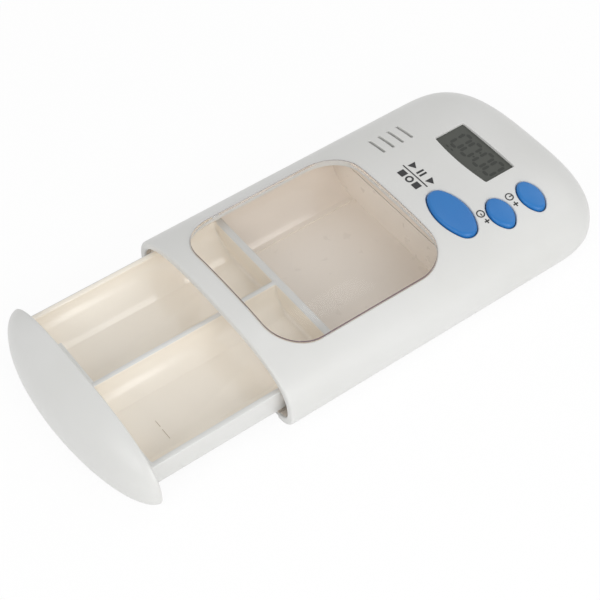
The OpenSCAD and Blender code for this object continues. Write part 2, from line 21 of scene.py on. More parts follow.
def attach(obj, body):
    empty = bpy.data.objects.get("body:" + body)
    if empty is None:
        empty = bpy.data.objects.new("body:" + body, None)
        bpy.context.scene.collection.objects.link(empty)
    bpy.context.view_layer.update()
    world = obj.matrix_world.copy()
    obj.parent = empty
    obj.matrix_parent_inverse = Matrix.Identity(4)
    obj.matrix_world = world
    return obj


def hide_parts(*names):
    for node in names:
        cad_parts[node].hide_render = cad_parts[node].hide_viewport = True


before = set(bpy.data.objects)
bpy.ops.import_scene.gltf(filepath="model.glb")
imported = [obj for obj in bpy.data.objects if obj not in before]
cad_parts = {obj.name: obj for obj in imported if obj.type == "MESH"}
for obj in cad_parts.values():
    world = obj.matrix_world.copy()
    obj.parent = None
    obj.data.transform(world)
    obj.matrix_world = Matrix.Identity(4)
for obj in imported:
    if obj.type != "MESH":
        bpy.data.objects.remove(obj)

MM = 0.001
QUARTER = math.pi / 2
LOG = logging.getLogger("pill_box")

Spot = tuple[float, float]
Place = tuple[float, float, float]
Colour = tuple[float, float, float, float]
Piece = bpy.types.Object
Socket = bpy.types.NodeSocket
EdgeRule = Callable[[Vector, Vector], bool]


# --------------------------------------------------------------------------
# Modelling by hand: small tools over bpy.ops
# --------------------------------------------------------------------------


def rest_hands() -> None:
    """Leave edit mode and deselect everything."""
    if bpy.context.object is not None and bpy.context.object.mode != "OBJECT":
        bpy.ops.object.mode_set(mode="OBJECT")
    bpy.ops.object.select_all(action="DESELECT")


def take(*pieces: Piece) -> None:
    """Select these pieces alone, the first of them active."""
    rest_hands()
    for piece in pieces:
        piece.select_set(True)
    bpy.context.view_layer.objects.active = pieces[0]


def named(name: str) -> Piece:
    """Name the piece that was just added, and its mesh.

    Args:
        name: the piece's name.

    Returns:
        The active object.
    """
    piece = bpy.context.object
    piece.name = name
    piece.data.name = name
    return piece


def settle(piece: Piece) -> None:
    """Put a piece's place and size into its mesh."""
    take(piece)
    bpy.ops.object.transform_apply(location=True, rotation=True, scale=True)


def join(first: Piece, *others: Piece) -> Piece:
    """Join pieces into the first one.

    Args:
        first: the piece that stays.
        others: the pieces that go into it.

    Returns:
        The first piece.
    """
    take(first, *others)
    bpy.ops.object.join()
    return bpy.context.object


@contextmanager
def editing(piece: Piece, kind: str = "VERT") -> Iterator[None]:
    """Take a piece into edit mode, and out again at the end.

    Args:
        piece: the piece.
        kind: what is selected, "VERT" or "EDGE".
    """
    take(piece)
    bpy.ops.object.mode_set(mode="EDIT")
    bpy.ops.mesh.select_mode(type=kind)
    yield
    bpy.ops.object.mode_set(mode="OBJECT")


def select_edges(piece: Piece, rule: EdgeRule) -> None:
    """Select the edges of the piece in edit mode that a rule picks.

    Args:
        piece: the piece being edited.
        rule: gets an edge's middle in mm and its direction.
    """
    bpy.ops.mesh.select_all(action="DESELECT")
    mesh = bmesh.from_edit_mesh(piece.data)
    for edge in mesh.edges:
        a, b = (v.co for v in edge.verts)
        if rule((a + b) / (2 * MM), (b - a).normalized()):
            edge.select_set(True)
    mesh.select_flush_mode()
    bmesh.update_edit_mesh(piece.data)


def bevel_where(piece: Piece, width: float, steps: int, rule: EdgeRule) -> None:
    """Round the edges that a rule picks.

    Args:
        piece: the piece.
        width: radius in mm.
        steps: segments of the rounding.
        rule: picks edges by middle in mm and direction.
    """
    with editing(piece, "EDGE"):
        select_edges(piece, rule)
        bpy.ops.mesh.bevel(offset=width * MM, segments=steps, affect="EDGES")


def sharpen_where(piece: Piece, rule: EdgeRule) -> None:
    """Mark the edges that a rule picks as creases.

    Args:
        piece: the piece.
        rule: picks edges by middle in mm and direction.
    """
    with editing(piece, "EDGE"):
        select_edges(piece, rule)
        bpy.ops.mesh.mark_sharp()


def block(name: str, low: Place, high: Place) -> Piece:
    """Add a cube primitive between two corners.

    Args:
        name: the piece's name.
        low: lowest corner in mm.
        high: highest corner in mm.

    Returns:
        The new piece, with its place in its mesh.
    """
    rest_hands()
    middle = [(a + b) / 2 * MM for a, b in zip(low, high)]
    bpy.ops.mesh.primitive_cube_add(size=1, location=middle)
    piece = named(name)
    piece.scale = [(b - a) * MM for a, b in zip(low, high)]
    settle(piece)
    return piece


def outward(piece: Piece, weld: float = 1e-7) -> None:
    """Merge doubles and turn the faces outward.

    Args:
        piece: a closed piece.
        weld: merge distance in metres.
    """
    with editing(piece):
        bpy.ops.mesh.select_all(action="SELECT")
        bpy.ops.mesh.remove_doubles(threshold=weld)
        bpy.ops.mesh.normals_make_consistent(inside=False)


def smooth(piece: Piece, angle: float = 32) -> None:
    """Shade a piece smooth but for edges sharper than an angle in degrees."""
    take(piece)
    bpy.ops.object.shade_smooth_by_angle(angle=math.radians(angle))


def combine(piece: Piece, tool: Piece,
            how: str = "DIFFERENCE") -> None:
    """Cut a tool out of a piece, or add it, and remove the tool.

    Args:
        piece: the piece that is changed.
        tool: the closed body that cuts.
        how: the boolean's operation.
    """
    take(piece)
    change = piece.modifiers.new("cut", "BOOLEAN")
    change.operation = how
    change.solver = "EXACT"
    change.object = tool
    bpy.ops.object.modifier_apply(modifier=change.name)
    bpy.data.objects.remove(tool)


def own_copy(piece: Piece, name: str, shift: Place) -> Piece:
    """Copy a piece with its own mesh, moved.

    Args:
        piece: the piece to copy.
        name: the copy's name.
        shift: move in mm.

    Returns:
        The copy.
    """
    take(piece)
    bpy.ops.object.duplicate(linked=False)
    copy = named(name)
    copy.location = [v * MM for v in shift]
    settle(copy)
    return copy


class RingLoft:
    """Raises a closed body from a circle primitive, ring after ring."""

    def __init__(self, name: str, first: Sequence[Place]) -> None:
        """Add the circle and lay its points on the first ring.

        Args:
            name: the piece's name.
            first: places of the first ring in mm.
        """
        rest_hands()
        bpy.ops.mesh.primitive_circle_add(vertices=len(first), radius=MM,
                                          location=(0, 0, 0))
        self.piece = named(name)
        self.rings = 0
        bpy.ops.object.mode_set(mode="EDIT")
        bpy.ops.mesh.select_mode(type="VERT")
        bpy.ops.mesh.select_all(action="SELECT")
        mesh = bmesh.from_edit_mesh(self.piece.data)
        order = mesh.verts.layers.int.new("order")
        turn = mesh.verts.layers.int.new("turn")
        for number, vert in enumerate(mesh.verts):
            vert[order] = number
            vert[turn] = 0
        self._lay(first)

    def _lay(self, ring: Sequence[Place]) -> None:
        """Lay the selected points on a ring."""
        mesh = bmesh.from_edit_mesh(self.piece.data)
        order = mesh.verts.layers.int["order"]
        turn = mesh.verts.layers.int["turn"]
        for vert in mesh.verts:
            if vert.select:
                vert.co = Vector(ring[vert[order]]) * MM
                vert[turn] = self.rings
        bmesh.update_edit_mesh(self.piece.data)

    def raise_to(self, ring: Sequence[Place]) -> None:
        """Extrude the open edge to a further ring."""
        bpy.ops.mesh.extrude_region_move()
        self.rings += 1
        self._lay(ring)

    def finish(self, close_first: bool = True,
               close_last: bool = True) -> Piece:
        """Fill the open ends and turn the faces outward.

        Args:
            close_first: fill the first ring; a ring that met in a line or
                point needs no fill.
            close_last: the same for the last ring.

        Returns:
            The finished piece.
        """
        if close_last:
            bpy.ops.mesh.edge_face_add()
        if close_first:
            bpy.ops.mesh.select_all(action="DESELECT")
            mesh = bmesh.from_edit_mesh(self.piece.data)
            turn = mesh.verts.layers.int["turn"]
            for vert in mesh.verts:
                vert.select_set(vert[turn] == 0)
            mesh.select_flush_mode()
            bmesh.update_edit_mesh(self.piece.data)
            bpy.ops.mesh.edge_face_add()
        outward(self.piece)
        return self.piece


def loft(name: str, rings: Sequence[Sequence[Place]], close_first: bool = True,
         close_last: bool = True) -> Piece:
    """Build a body through a stack of rings.

    Args:
        name: the piece's name.
        rings: rings with equal point counts, in mm.
        close_first: fill the first ring.
        close_last: fill the last ring.

    Returns:
        The closed piece.
    """
    work = RingLoft(name, rings[0])
    for ring in rings[1:]:
        work.raise_to(ring)
    return work.finish(close_first, close_last)


def extruded(name: str, section: Sequence[Spot], ends: Spot) -> Piece:
    """Pull a section out along Y.

    Args:
        name: the piece's name.
        section: places in X and Z.
        ends: the two places in Y.

    Returns:
        The closed piece.
    """
    return loft(name, [[(x, y, z) for x, z in section] for y in ends])


# --------------------------------------------------------------------------
# Finishes
# --------------------------------------------------------------------------


def tone(red: int, green: int, blue: int) -> Colour:
    """Turn a display colour of 0 to 255 into a linear one.

    Args:
        red: red as seen on a display.
        green: green.
        blue: blue.

    Returns:
        A linear colour with full alpha.
    """
    def one(value: int) -> float:
        v = value / 255
        return v / 12.92 if v <= 0.04045 else ((v + 0.055) / 1.055) ** 2.4
    return (one(red), one(green), one(blue), 1.0)


class NodeBench:
    """Adds nodes to a material or world, and sets or wires their inputs."""

    def __init__(self, owner: bpy.types.Material | bpy.types.World) -> None:
        """Switch the owner's nodes on.

        Args:
            owner: the material or world.
        """
        owner.use_nodes = True
        self.tree = owner.node_tree

    def set(self, node: bpy.types.Node, values: dict[str | int, Any]) -> bpy.types.Node:
        """Set a node's inputs, and wire those whose value is a socket.

        Args:
            node: the node.
            values: a value or a socket for each input.

        Returns:
            The same node.
        """
        for key, value in values.items():
            if isinstance(value, Socket):
                self.tree.links.new(value, node.inputs[key])
            else:
                node.inputs[key].default_value = value
        return node

    def own(self, name: str, values: dict[str | int, Any]) -> bpy.types.Node:
        """Set the inputs of a node that the tree came with."""
        return self.set(self.tree.nodes[name], values)

    def add(self, kind: str, values: dict[str | int, Any] | None = None,
            operation: str = "") -> bpy.types.Node:
        """Add a node.

        Args:
            kind: the node's type, without its prefix.
            values: values or sockets for its inputs.
            operation: what a math node does.

        Returns:
            The new node.
        """
        node = self.tree.nodes.new("ShaderNode" + kind)
        if operation:
            node.operation = operation
        return self.set(node, values or {})

    def math(self, operation: str, first: Socket, second: float | Socket) -> Socket:
        """Reckon with two values."""
        return self.add("Math", {0: first, 1: second}, operation).outputs["Value"]

    def noise(self, where: Socket, scale: float, detail: float = 2) -> Socket:
        """Add noise of a scale and detail at these coordinates."""
        values = {"Vector": where, "Scale": scale, "Detail": detail}
        return self.add("TexNoise", values).outputs["Fac"]

    def rays(self, first: str, *others: str) -> Socket:
        """Tell some kinds of rays from all others.

        Args:
            first: a kind of ray.
            others: further kinds.

        Returns:
            A socket that is 1 for rays of these kinds.
        """
        path = self.add("LightPath").outputs
        seen = path[f"Is {first} Ray"]
        for kind in others:
            seen = self.math("MAXIMUM", seen, path[f"Is {kind} Ray"])
        return seen

    def blend(self, share: Socket, below: Socket, above: Socket) -> None:
        """Show two shaders as the surface, the second by its share."""
        mix = self.add("MixShader", {"Fac": share, 1: below, 2: above})
        self.own("Material Output", {"Surface": mix.outputs["Shader"]})


class Grain(Enum):
    """How a face breaks up the light: noise scale, depth in mm, strength."""

    POLISHED = (700, 0.003, 0.25)
    SATIN = (2600, 0.004, 0.35)
    SPARK = (3800, 0.012, 0.5)
    BRUSHED = (1500, 0.006, 0.5)


MIXED: dict[str, bpy.types.Material] = {}
NOISE_SPAN = (0.3, 0.7)
BRUSH_STRETCH = (1, 14, 1)


@dataclass(frozen=True)
class Finish:
    """A finish, with its material's name and the slot it belongs to."""

    name: str
    slot: str

    def dress(self) -> bpy.types.Material:
        """Give out the material.

        Returns:
            The node material, made once for each finish.
        """
        if self.name not in MIXED:
            MIXED[self.name] = bpy.data.materials.new(self.name)
            self.mix(NodeBench(MIXED[self.name]))
        return MIXED[self.name]

    def mix(self, bench: NodeBench) -> None:
        """Add the finish's nodes."""
        raise NotImplementedError


@dataclass(frozen=True)
class MouldedFinish(Finish):
    """A moulded, plated or printed finish with fine, even variation."""

    light: Colour
    dark: Colour
    roughness: float = 0.35
    roughness_swing: float = 0.05
    grain: Grain = Grain.SATIN
    metallic: float = 0.0
    specular: float = 0.5
    drift_scale: float = 55
    patch_scale: float = 420

    def mix(self, bench: NodeBench) -> None:
        """Add slow colour drift, patches of roughness, and the grain's relief."""
        place = bench.add("TexCoord").outputs["Object"]
        flow_node = bench.add("Mapping", {"Vector": place})
        if self.grain is Grain.BRUSHED:
            bench.set(flow_node, {"Scale": BRUSH_STRETCH})
        flow = flow_node.outputs["Vector"]
        ramp = bench.add("ValToRGB", {"Fac": bench.noise(flow, self.drift_scale, 3)})
        for i, colour in enumerate((self.dark, self.light)):
            ramp.color_ramp.elements[i].position = NOISE_SPAN[i]
            ramp.color_ramp.elements[i].color = colour
        rough = bench.add("MapRange", {
            "Value": bench.noise(flow, self.patch_scale),
            "From Min": NOISE_SPAN[0], "From Max": NOISE_SPAN[1],
            "To Min": self.roughness - self.roughness_swing,
            "To Max": self.roughness + self.roughness_swing})
        size, depth, strength = self.grain.value
        bump = bench.add("Bump", {"Strength": strength, "Distance": depth * MM,
                                  "Height": bench.noise(flow, size)})
        bench.own("Principled BSDF", {
            "Base Color": ramp.outputs["Color"], "Roughness": rough.outputs["Result"],
            "Normal": bump.outputs["Normal"], "Metallic": self.metallic,
            "Specular IOR Level": self.specular})


@dataclass(frozen=True)
class BayShadeFinish(MouldedFinish):
    """A moulded finish with painted warm shade: it turns to a cream tone over the drawer
    bay's floor, where the white plate lies in shade.
    """

    # painted shade: this cream tone over the bay's floor stands in for shade and warm
    # bounced light
    shade_painted_lining: Colour = (0.7, 0.62, 0.53, 1.0)
    painted_shade_low: float = 0.9
    painted_shade_rear: float = 4.3

    def mix(self, bench: NodeBench) -> None:
        """Mix the painted shade tone in by Object coordinates."""
        super().mix(bench)
        place = bench.add("TexCoord").outputs["Object"]
        split = bench.add("SeparateXYZ", {"Vector": place}).outputs
        # the painted shade covers the plate's upper faces in front of the bay's end
        above = bench.math("GREATER_THAN", split["Z"], self.painted_shade_low * MM)
        before = bench.math("LESS_THAN", split["Y"], self.painted_shade_rear * MM)
        plain = bench.own("Principled BSDF", {}).inputs["Base Color"].links[0].from_socket
        mixed = bench.add("MixRGB", {"Fac": bench.math("MULTIPLY", above, before),
                                     "Color1": plain, "Color2": self.shade_painted_lining})
        bench.own("Principled BSDF", {"Base Color": mixed.outputs["Color"]})


@dataclass(frozen=True)
class ClearFinish(Finish):
    """The window's clear moulding, which lets light straight through."""

    tint: Colour
    roughness: float = 0.02
    ior: float = 1.15
    haze_scale: float = 160

    def mix(self, bench: NodeBench) -> None:
        """Add a faint haze, and let shadow and diffuse rays straight through."""
        place = bench.add("TexCoord").outputs["Object"]
        rough = bench.add("MapRange", {
            "Value": bench.noise(place, self.haze_scale),
            "To Min": self.roughness * 0.6, "To Max": self.roughness * 1.6})
        surface = bench.own("Principled BSDF", {
            "Base Color": self.tint, "Transmission Weight": 1.0, "IOR": self.ior,
            "Roughness": rough.outputs["Result"]})
        through = bench.add("BsdfTransparent", {"Color": (0.95, 0.95, 0.95, 1)})
        bench.blend(bench.rays("Shadow", "Diffuse"), surface.outputs["BSDF"],
                    through.outputs["BSDF"])


HOUSING_WHITE = MouldedFinish("moulded_white", "housing_white",
                              tone(222, 222, 220), tone(218, 218, 215), 0.34, 0.04)
# painted shade: the white plate turns cream over the bay's floor, where it lies in shade
BASE_WHITE_BAY_SHADE = BayShadeFinish("base_white_bay_shade", "housing_white",
                         tone(222, 222, 220), tone(218, 218, 215), 0.3, 0.03,
                         Grain.POLISHED, shade_painted_lining=tone(241, 232, 221))
# painted shade: the tray's own white plastic, tinted cream inside the compartments,
# standing in for shade and warm bounced light
TRAY_SHADE_CREAM = MouldedFinish("polished_painted_shade", "tray_cream",
                           tone(245, 238, 226), tone(242, 234, 221), 0.1, 0.02,
                           Grain.POLISHED)
# painted shade: the housing's own white, tinted cream on the faces inside the drawer's
# bay, standing in for shade and warm bounced light
BAY_SHADE_CREAM = MouldedFinish("bay_painted_shade", "housing_white",
                          tone(240, 230, 219), tone(237, 227, 215), 0.14, 0.03,
                          Grain.POLISHED)
BUTTON_BLUE = MouldedFinish("satin_blue", "button_blue",
                            tone(30, 117, 189), tone(26, 111, 184), 0.36, 0.04)
DISPLAY_GREY = MouldedFinish("display_grey", "display_glass",
                             tone(78, 80, 75), tone(74, 76, 71), 0.3, 0.03,
                             Grain.POLISHED, specular=0.3)
DIGIT_DARK = MouldedFinish("digit_dark", "display_glass",
                           tone(56, 58, 54), tone(52, 54, 50), 0.3, 0.03,
                           Grain.POLISHED, specular=0.3)
# painted shade: a dark mauve tone on the pane's proud side faces stands in for the
# shadowed gap at the window's rim
WINDOW_EDGE_SHADE = MouldedFinish("window_edge_shade", "clear_window",
                            tone(112, 94, 99), tone(104, 86, 92), 0.3, 0.05,
                            Grain.POLISHED)
# darker colour for two short raised lines on the near compartment's floor
DARK_FLOOR_LINE = MouldedFinish("dark_floor_line", "tray_cream",
                           tone(186, 172, 152), tone(178, 164, 144), 0.4, 0.04)
PRINT_BLACK = MouldedFinish("print_black", "black_plastic",
                            tone(30, 30, 32), tone(24, 24, 26), 0.45, 0.05)
BLACK_RESIN = MouldedFinish("black_resin", "black_plastic",
                            tone(42, 42, 45), tone(34, 34, 37), 0.5, 0.08, Grain.SPARK)
GREY_RUBBER = MouldedFinish("soft_rubber", "grey_rubber",
                            tone(192, 192, 188), tone(184, 184, 180), 0.65, 0.06)
BOARD_GREEN = MouldedFinish("solder_mask", "board_green",
                            tone(34, 104, 66), tone(26, 90, 56), 0.32, 0.06,
                            Grain.POLISHED)
FIRED_CERAMIC = MouldedFinish("fired_ceramic", "part_ceramic",
                              tone(176, 160, 138), tone(160, 142, 118), 0.5, 0.08,
                              Grain.SPARK)
PLATED_STEEL = MouldedFinish("plated_steel", "screw_steel",
                             tone(205, 206, 209), tone(188, 190, 194), 0.28, 0.08,
                             Grain.BRUSHED, metallic=1.0)
SPRING_BRASS = MouldedFinish("spring_brass", "contact_brass",
                             tone(214, 186, 116), tone(198, 168, 96), 0.3, 0.08,
                             Grain.BRUSHED, metallic=1.0)
CLEAR_WINDOW = ClearFinish("clear_moulding", "clear_window", (0.97, 0.965, 0.96, 1))


def paint(piece: Piece, *finishes: Finish) -> None:
    """Give a piece its finishes, the first of them all over.

    Args:
        piece: the piece.
        finishes: one finish for each of its material slots.
    """
    piece.data.materials.clear()
    for finish in finishes:
        piece.data.materials.append(finish.dress())


def hand_in(piece: Piece, body: str, finish: Finish, *nodes: str) -> None:
    """Args:
        piece: the finished piece.
        body: the body it rides on.
        finish: not used.
        nodes: CAD nodes that it stands for.
    """
    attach(piece, body)
    if nodes:
        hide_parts(*nodes)
    LOG.info("%s rides on %s: %d faces", piece.name, body, len(piece.data.polygons))


# --------------------------------------------------------------------------
# The soft outer form that the housing and the drawer's cap share
# --------------------------------------------------------------------------


@dataclass
class OuterForm:
    """The rounded form of the closed box, by formula."""

    half_w: float = 27.0
    body_l: float = 87.6
    body_h: float = 15.0
    waist_h: float = 3.6
    section_power: float = 2.65
    rear_round: float = 18.4
    rear_power: float = 3.1
    lower_roll: float = 3.4
    cap_depth: float = 8.3
    wall: float = 1.8

    @property
    def mouth(self) -> float:
        """Y of the mouth in the part's frame."""
        return -self.body_l / 2

    @property
    def rear_start(self) -> float:
        """Where the rounded rear end starts, from the mouth."""
        return self.body_l - self.rear_round

    def height(self, x: float, y: float, inset: float = 0.0) -> float:
        """Height of the crown at a place.

        Args:
            x: place across the housing.
            y: place from the mouth.
            inset: how far inside the skin, for the hollow.

        Returns:
            Height over the underside.
        """
        p, n = self.rear_power, self.section_power
        over = max(y - self.rear_start, 0) / (self.rear_round - inset)
        reach = ((abs(x) / (self.half_w - inset)) ** p + over ** p) ** (1 / p)
        return self.waist_h + (self.body_h - inset - self.waist_h) * (
            max(1 - min(reach, 1) ** n, 0)) ** (1 / n)

    def normal(self, x: float, y: float) -> Vector:
        """Outward direction of the crown at a place from the mouth."""
        step = 0.01
        slope_x = (self.height(x + step, y) - self.height(x - step, y)) / (2 * step)
        slope_y = (self.height(x, y + step) - self.height(x, y - step)) / (2 * step)
        return Vector((-slope_x, -slope_y, 1)).normalized()

    def side_turns(self, low: float, roll: float, lower: int,
                   upper: int) -> list[tuple[float, float, float]]:
        """Steps from the underside over the waist to the crown.

        Args:
            low: height of the first step.
            roll: how far the lower edge rolls in.
            lower: steps below the waist.
            upper: steps above it.

        Returns:
            Triples of inset, scale across, and share of the height above the
            waist, which is negative below it.
        """
        turns = []
        for i in range(lower):
            t = QUARTER * i / lower
            under = (self.waist_h - low) * math.cos(t)
            turns.append((roll * (1 - math.sin(t)), 1.0,
                          -under / (self.body_h - self.waist_h)))
        for i in range(upper + 1):
            t = QUARTER * i / upper
            scale = max(math.cos(t), 0) ** (2 / self.section_power)
            turns.append((0.0, 0.0 if i == upper else scale,
                          math.sin(t) ** (2 / self.section_power)))
        return turns

    def level(self, share: float, inset: float) -> float:
        """Height of a ring with that share where the skin has that inset."""
        top = self.body_h - (inset if share > 0 else 0)
        return self.waist_h + (top - self.waist_h) * share

    def whole(self, half: Sequence[Place]) -> list[Place]:
        """Mirror half a ring across X, and move it from the mouth to its place."""
        ring = [*half, *((-x, y, z) for x, y, z in reversed(half[:-1]))]
        return [(x, y + self.mouth, z) for x, y, z in ring]

    def at_height(self, outline: Sequence[Spot], middle: Spot, z: float) -> list[Place]:
        """Lay an outline level at a height, its middle from the mouth."""
        cx, cy = middle
        return [(x + cx, y + cy + self.mouth, z) for x, y in outline]

    def on_crown(self, outline: Sequence[Spot], middle: Spot,
                 rise: float) -> list[Place]:
        """Lay an outline over the crown at a rise, its middle from the mouth."""
        cx, cy = middle
        return [(x + cx, y + cy + self.mouth, self.height(x + cx, y + cy) + rise)
                for x, y in outline]

    def housing_rings(self, sides: Sequence[float], skin: Callable[[float], float],
                      low: float, roll: float, arc: int = 40, lower: int = 7,
                      upper: int = 34) -> list[list[Place]]:
        """Rings of the housing's form behind the mouth.

        Args:
            sides: places along the straight sides, from the mouth.
            skin: inset of the skin at such a place.
            low: height of the lowest ring.
            roll: roll of the lower edge.
            arc: steps of each quarter of the rear end.
            lower: steps below the waist.
            upper: steps above it.

        Returns:
            Rings in the part's frame; the last one meets in a line.
        """
        rings = []
        inner = skin(self.rear_start)
        power = 2 / self.rear_power
        for inset, scale, share in self.side_turns(low, roll, lower, upper):
            half = [((self.half_w - skin(y)) * scale - inset, y,
                     self.level(share, skin(y))) for y in sides]
            for j in range(arc + 1):
                t = QUARTER * j / arc
                reach_x = (self.half_w - inner) * scale - inset
                reach_y = (self.rear_round - inner) * scale - inset
                half.append((max(reach_x, 0) * max(math.cos(t), 0) ** power,
                             self.rear_start + max(reach_y, 0) * math.sin(t) ** power,
                             self.level(share, inner)))
            half[-1] = (0.0, *half[-1][1:])
            rings.append(self.whole(half))
        return rings


FORM = OuterForm()


def round_rect(w: float, l: float, r: float, corner: int = 10,
               side: int = 10) -> list[Spot]:
    """Points of a rectangle with round corners, around its middle.

    Args:
        w: width along X.
        l: length along Y.
        r: corner radius.
        corner: steps of each corner.
        side: steps of each straight side.

    Returns:
        Points in order, the same count for every size.
    """
    r = max(min(r, w / 2, l / 2), 1e-4)
    centres = [(w / 2 - r, l / 2 - r, 0), (-(w / 2 - r), l / 2 - r, 90),
               (-(w / 2 - r), -(l / 2 - r), 180), (w / 2 - r, -(l / 2 - r), 270)]
    points: list[Spot] = []
    for k, (cx, cy, start) in enumerate(centres):
        for i in range(corner + 1):
            t = math.radians(start + 90 * i / corner)
            points.append((cx + r * math.cos(t), cy + r * math.sin(t)))
        nx, ny, turn = centres[(k + 1) % 4]
        t = math.radians(turn)
        ax, ay = points[-1]
        bx, by = nx + r * math.cos(t), ny + r * math.sin(t)
        for i in range(1, side):
            points.append((ax + (bx - ax) * i / side, ay + (by - ay) * i / side))
    return points


OVAL_END = 0.34


def oval(w: float, h: float, count: int = 96) -> list[Spot]:
    """Points of the buttons' oval: two large arcs that run into small ends.

    Args:
        w: length along X.
        h: width along Y.
        count: number of points, a multiple of 4.

    Returns:
        Points in order around the middle.
    """
    e = h * OVAL_END
    far = w / 2 - e
    big = (far * far + h * h / 4 - e * e) / (h - 2 * e)
    split = math.atan2(far, big - h / 2)
    quarter = count // 4
    end_steps = quarter // 2
    first: list[Spot] = []
    for i in range(end_steps):
        t = (math.pi / 2 - split) * i / end_steps
        first.append((far + e * math.cos(t), e * math.sin(t)))
    for i in range(quarter - end_steps):
        t = math.pi / 2 - split + split * i / (quarter - end_steps)
        first.append((big * math.cos(t), h / 2 - big + big * math.sin(t)))
    top = [(0.0, h / 2)]
    left = [(-x, y) for x, y in reversed(first)]
    upper = first + top + left
    lower = [(x, -y) for x, y in reversed(upper[1:-1])]
    return upper + lower


def grown(points: Sequence[Spot], by: float) -> list[Spot]:
    """Grow a convex outline outward by a distance in mm.

    Args:
        points: outline in counter-clockwise order.
        by: distance, negative to shrink.

    Returns:
        The grown outline.
    """
    result = []
    count = len(points)
    for i, (x, y) in enumerate(points):
        ax, ay = points[i - 1]
        bx, by_ = points[(i + 1) % count]
        dx, dy = bx - ax, by_ - ay
        size = math.hypot(dx, dy) or 1
        result.append((x + dy / size * by, y - dx / size * by))
    return result


FLARE_TURN = math.radians(72)
FLARE_RUN = 0.2
OVER_TOP = 3


def flared_cutter(name: str, outline: Sequence[Spot], middle: Spot, fillet: float,
                  bottom: float) -> Piece:
    """Build a cutter whose upper rim flares along the crown.

    Args:
        name: the cutter's name.
        outline: the opening's outline around its middle.
        middle: x and place from the mouth.
        fillet: radius of the rounded rim it leaves.
        bottom: height of its flat underside.

    Returns:
        The closed cutter.
    """
    steps = []
    for i in range(5):
        t = FLARE_TURN * i / 4
        steps.append((fillet * (1 - math.cos(t)), -fillet * (1 - math.sin(t))))
    out, rise = steps[-1]
    steps.append((out + FLARE_RUN * math.sin(FLARE_TURN),
                  rise + FLARE_RUN * math.cos(FLARE_TURN)))
    rings = [FORM.at_height(outline, middle, bottom)]
    rings += [FORM.on_crown(grown(outline, out), middle, rise) for out, rise in steps]
    rings.append([(x, y, FORM.body_h + OVER_TOP) for x, y, _ in rings[-1]])
    return loft(name, rings)


# --------------------------------------------------------------------------
# Sub-assemblies
# --------------------------------------------------------------------------


@dataclass
class ButtonSize:
    """One button: middle from the mouth, length, width and rise."""

    name: str
    body: str
    x: float
    y: float
    w: float
    h: float
    rise: float


@dataclass
class WindowSize:
    """The window's opening and its clear pane."""

    w: float = 39.4
    l: float = 42.0
    y: float = 4.5
    r: float = 8.4
    gap: float = 0.06
    proud: float = 0.32
    pane_t: float = 1.3

    @property
    def middle(self) -> Spot:
        """Middle of the window from the mouth."""
        return (0.0, self.y + self.l / 2)


WINDOW = WindowSize()
BUTTONS = (
    ButtonSize("start_button_cap", "start_stop_button", 10.42, 53.64, 13.6, 7.42, 0.72),
    ButtonSize("hour_button_cap", "hour_button", 15.94, 62.37, 7.52, 5.4, 0.7),
    ButtonSize("minute_button_cap", "minute_button", 16.06, 70.7, 7.55, 5.05, 0.7),
)


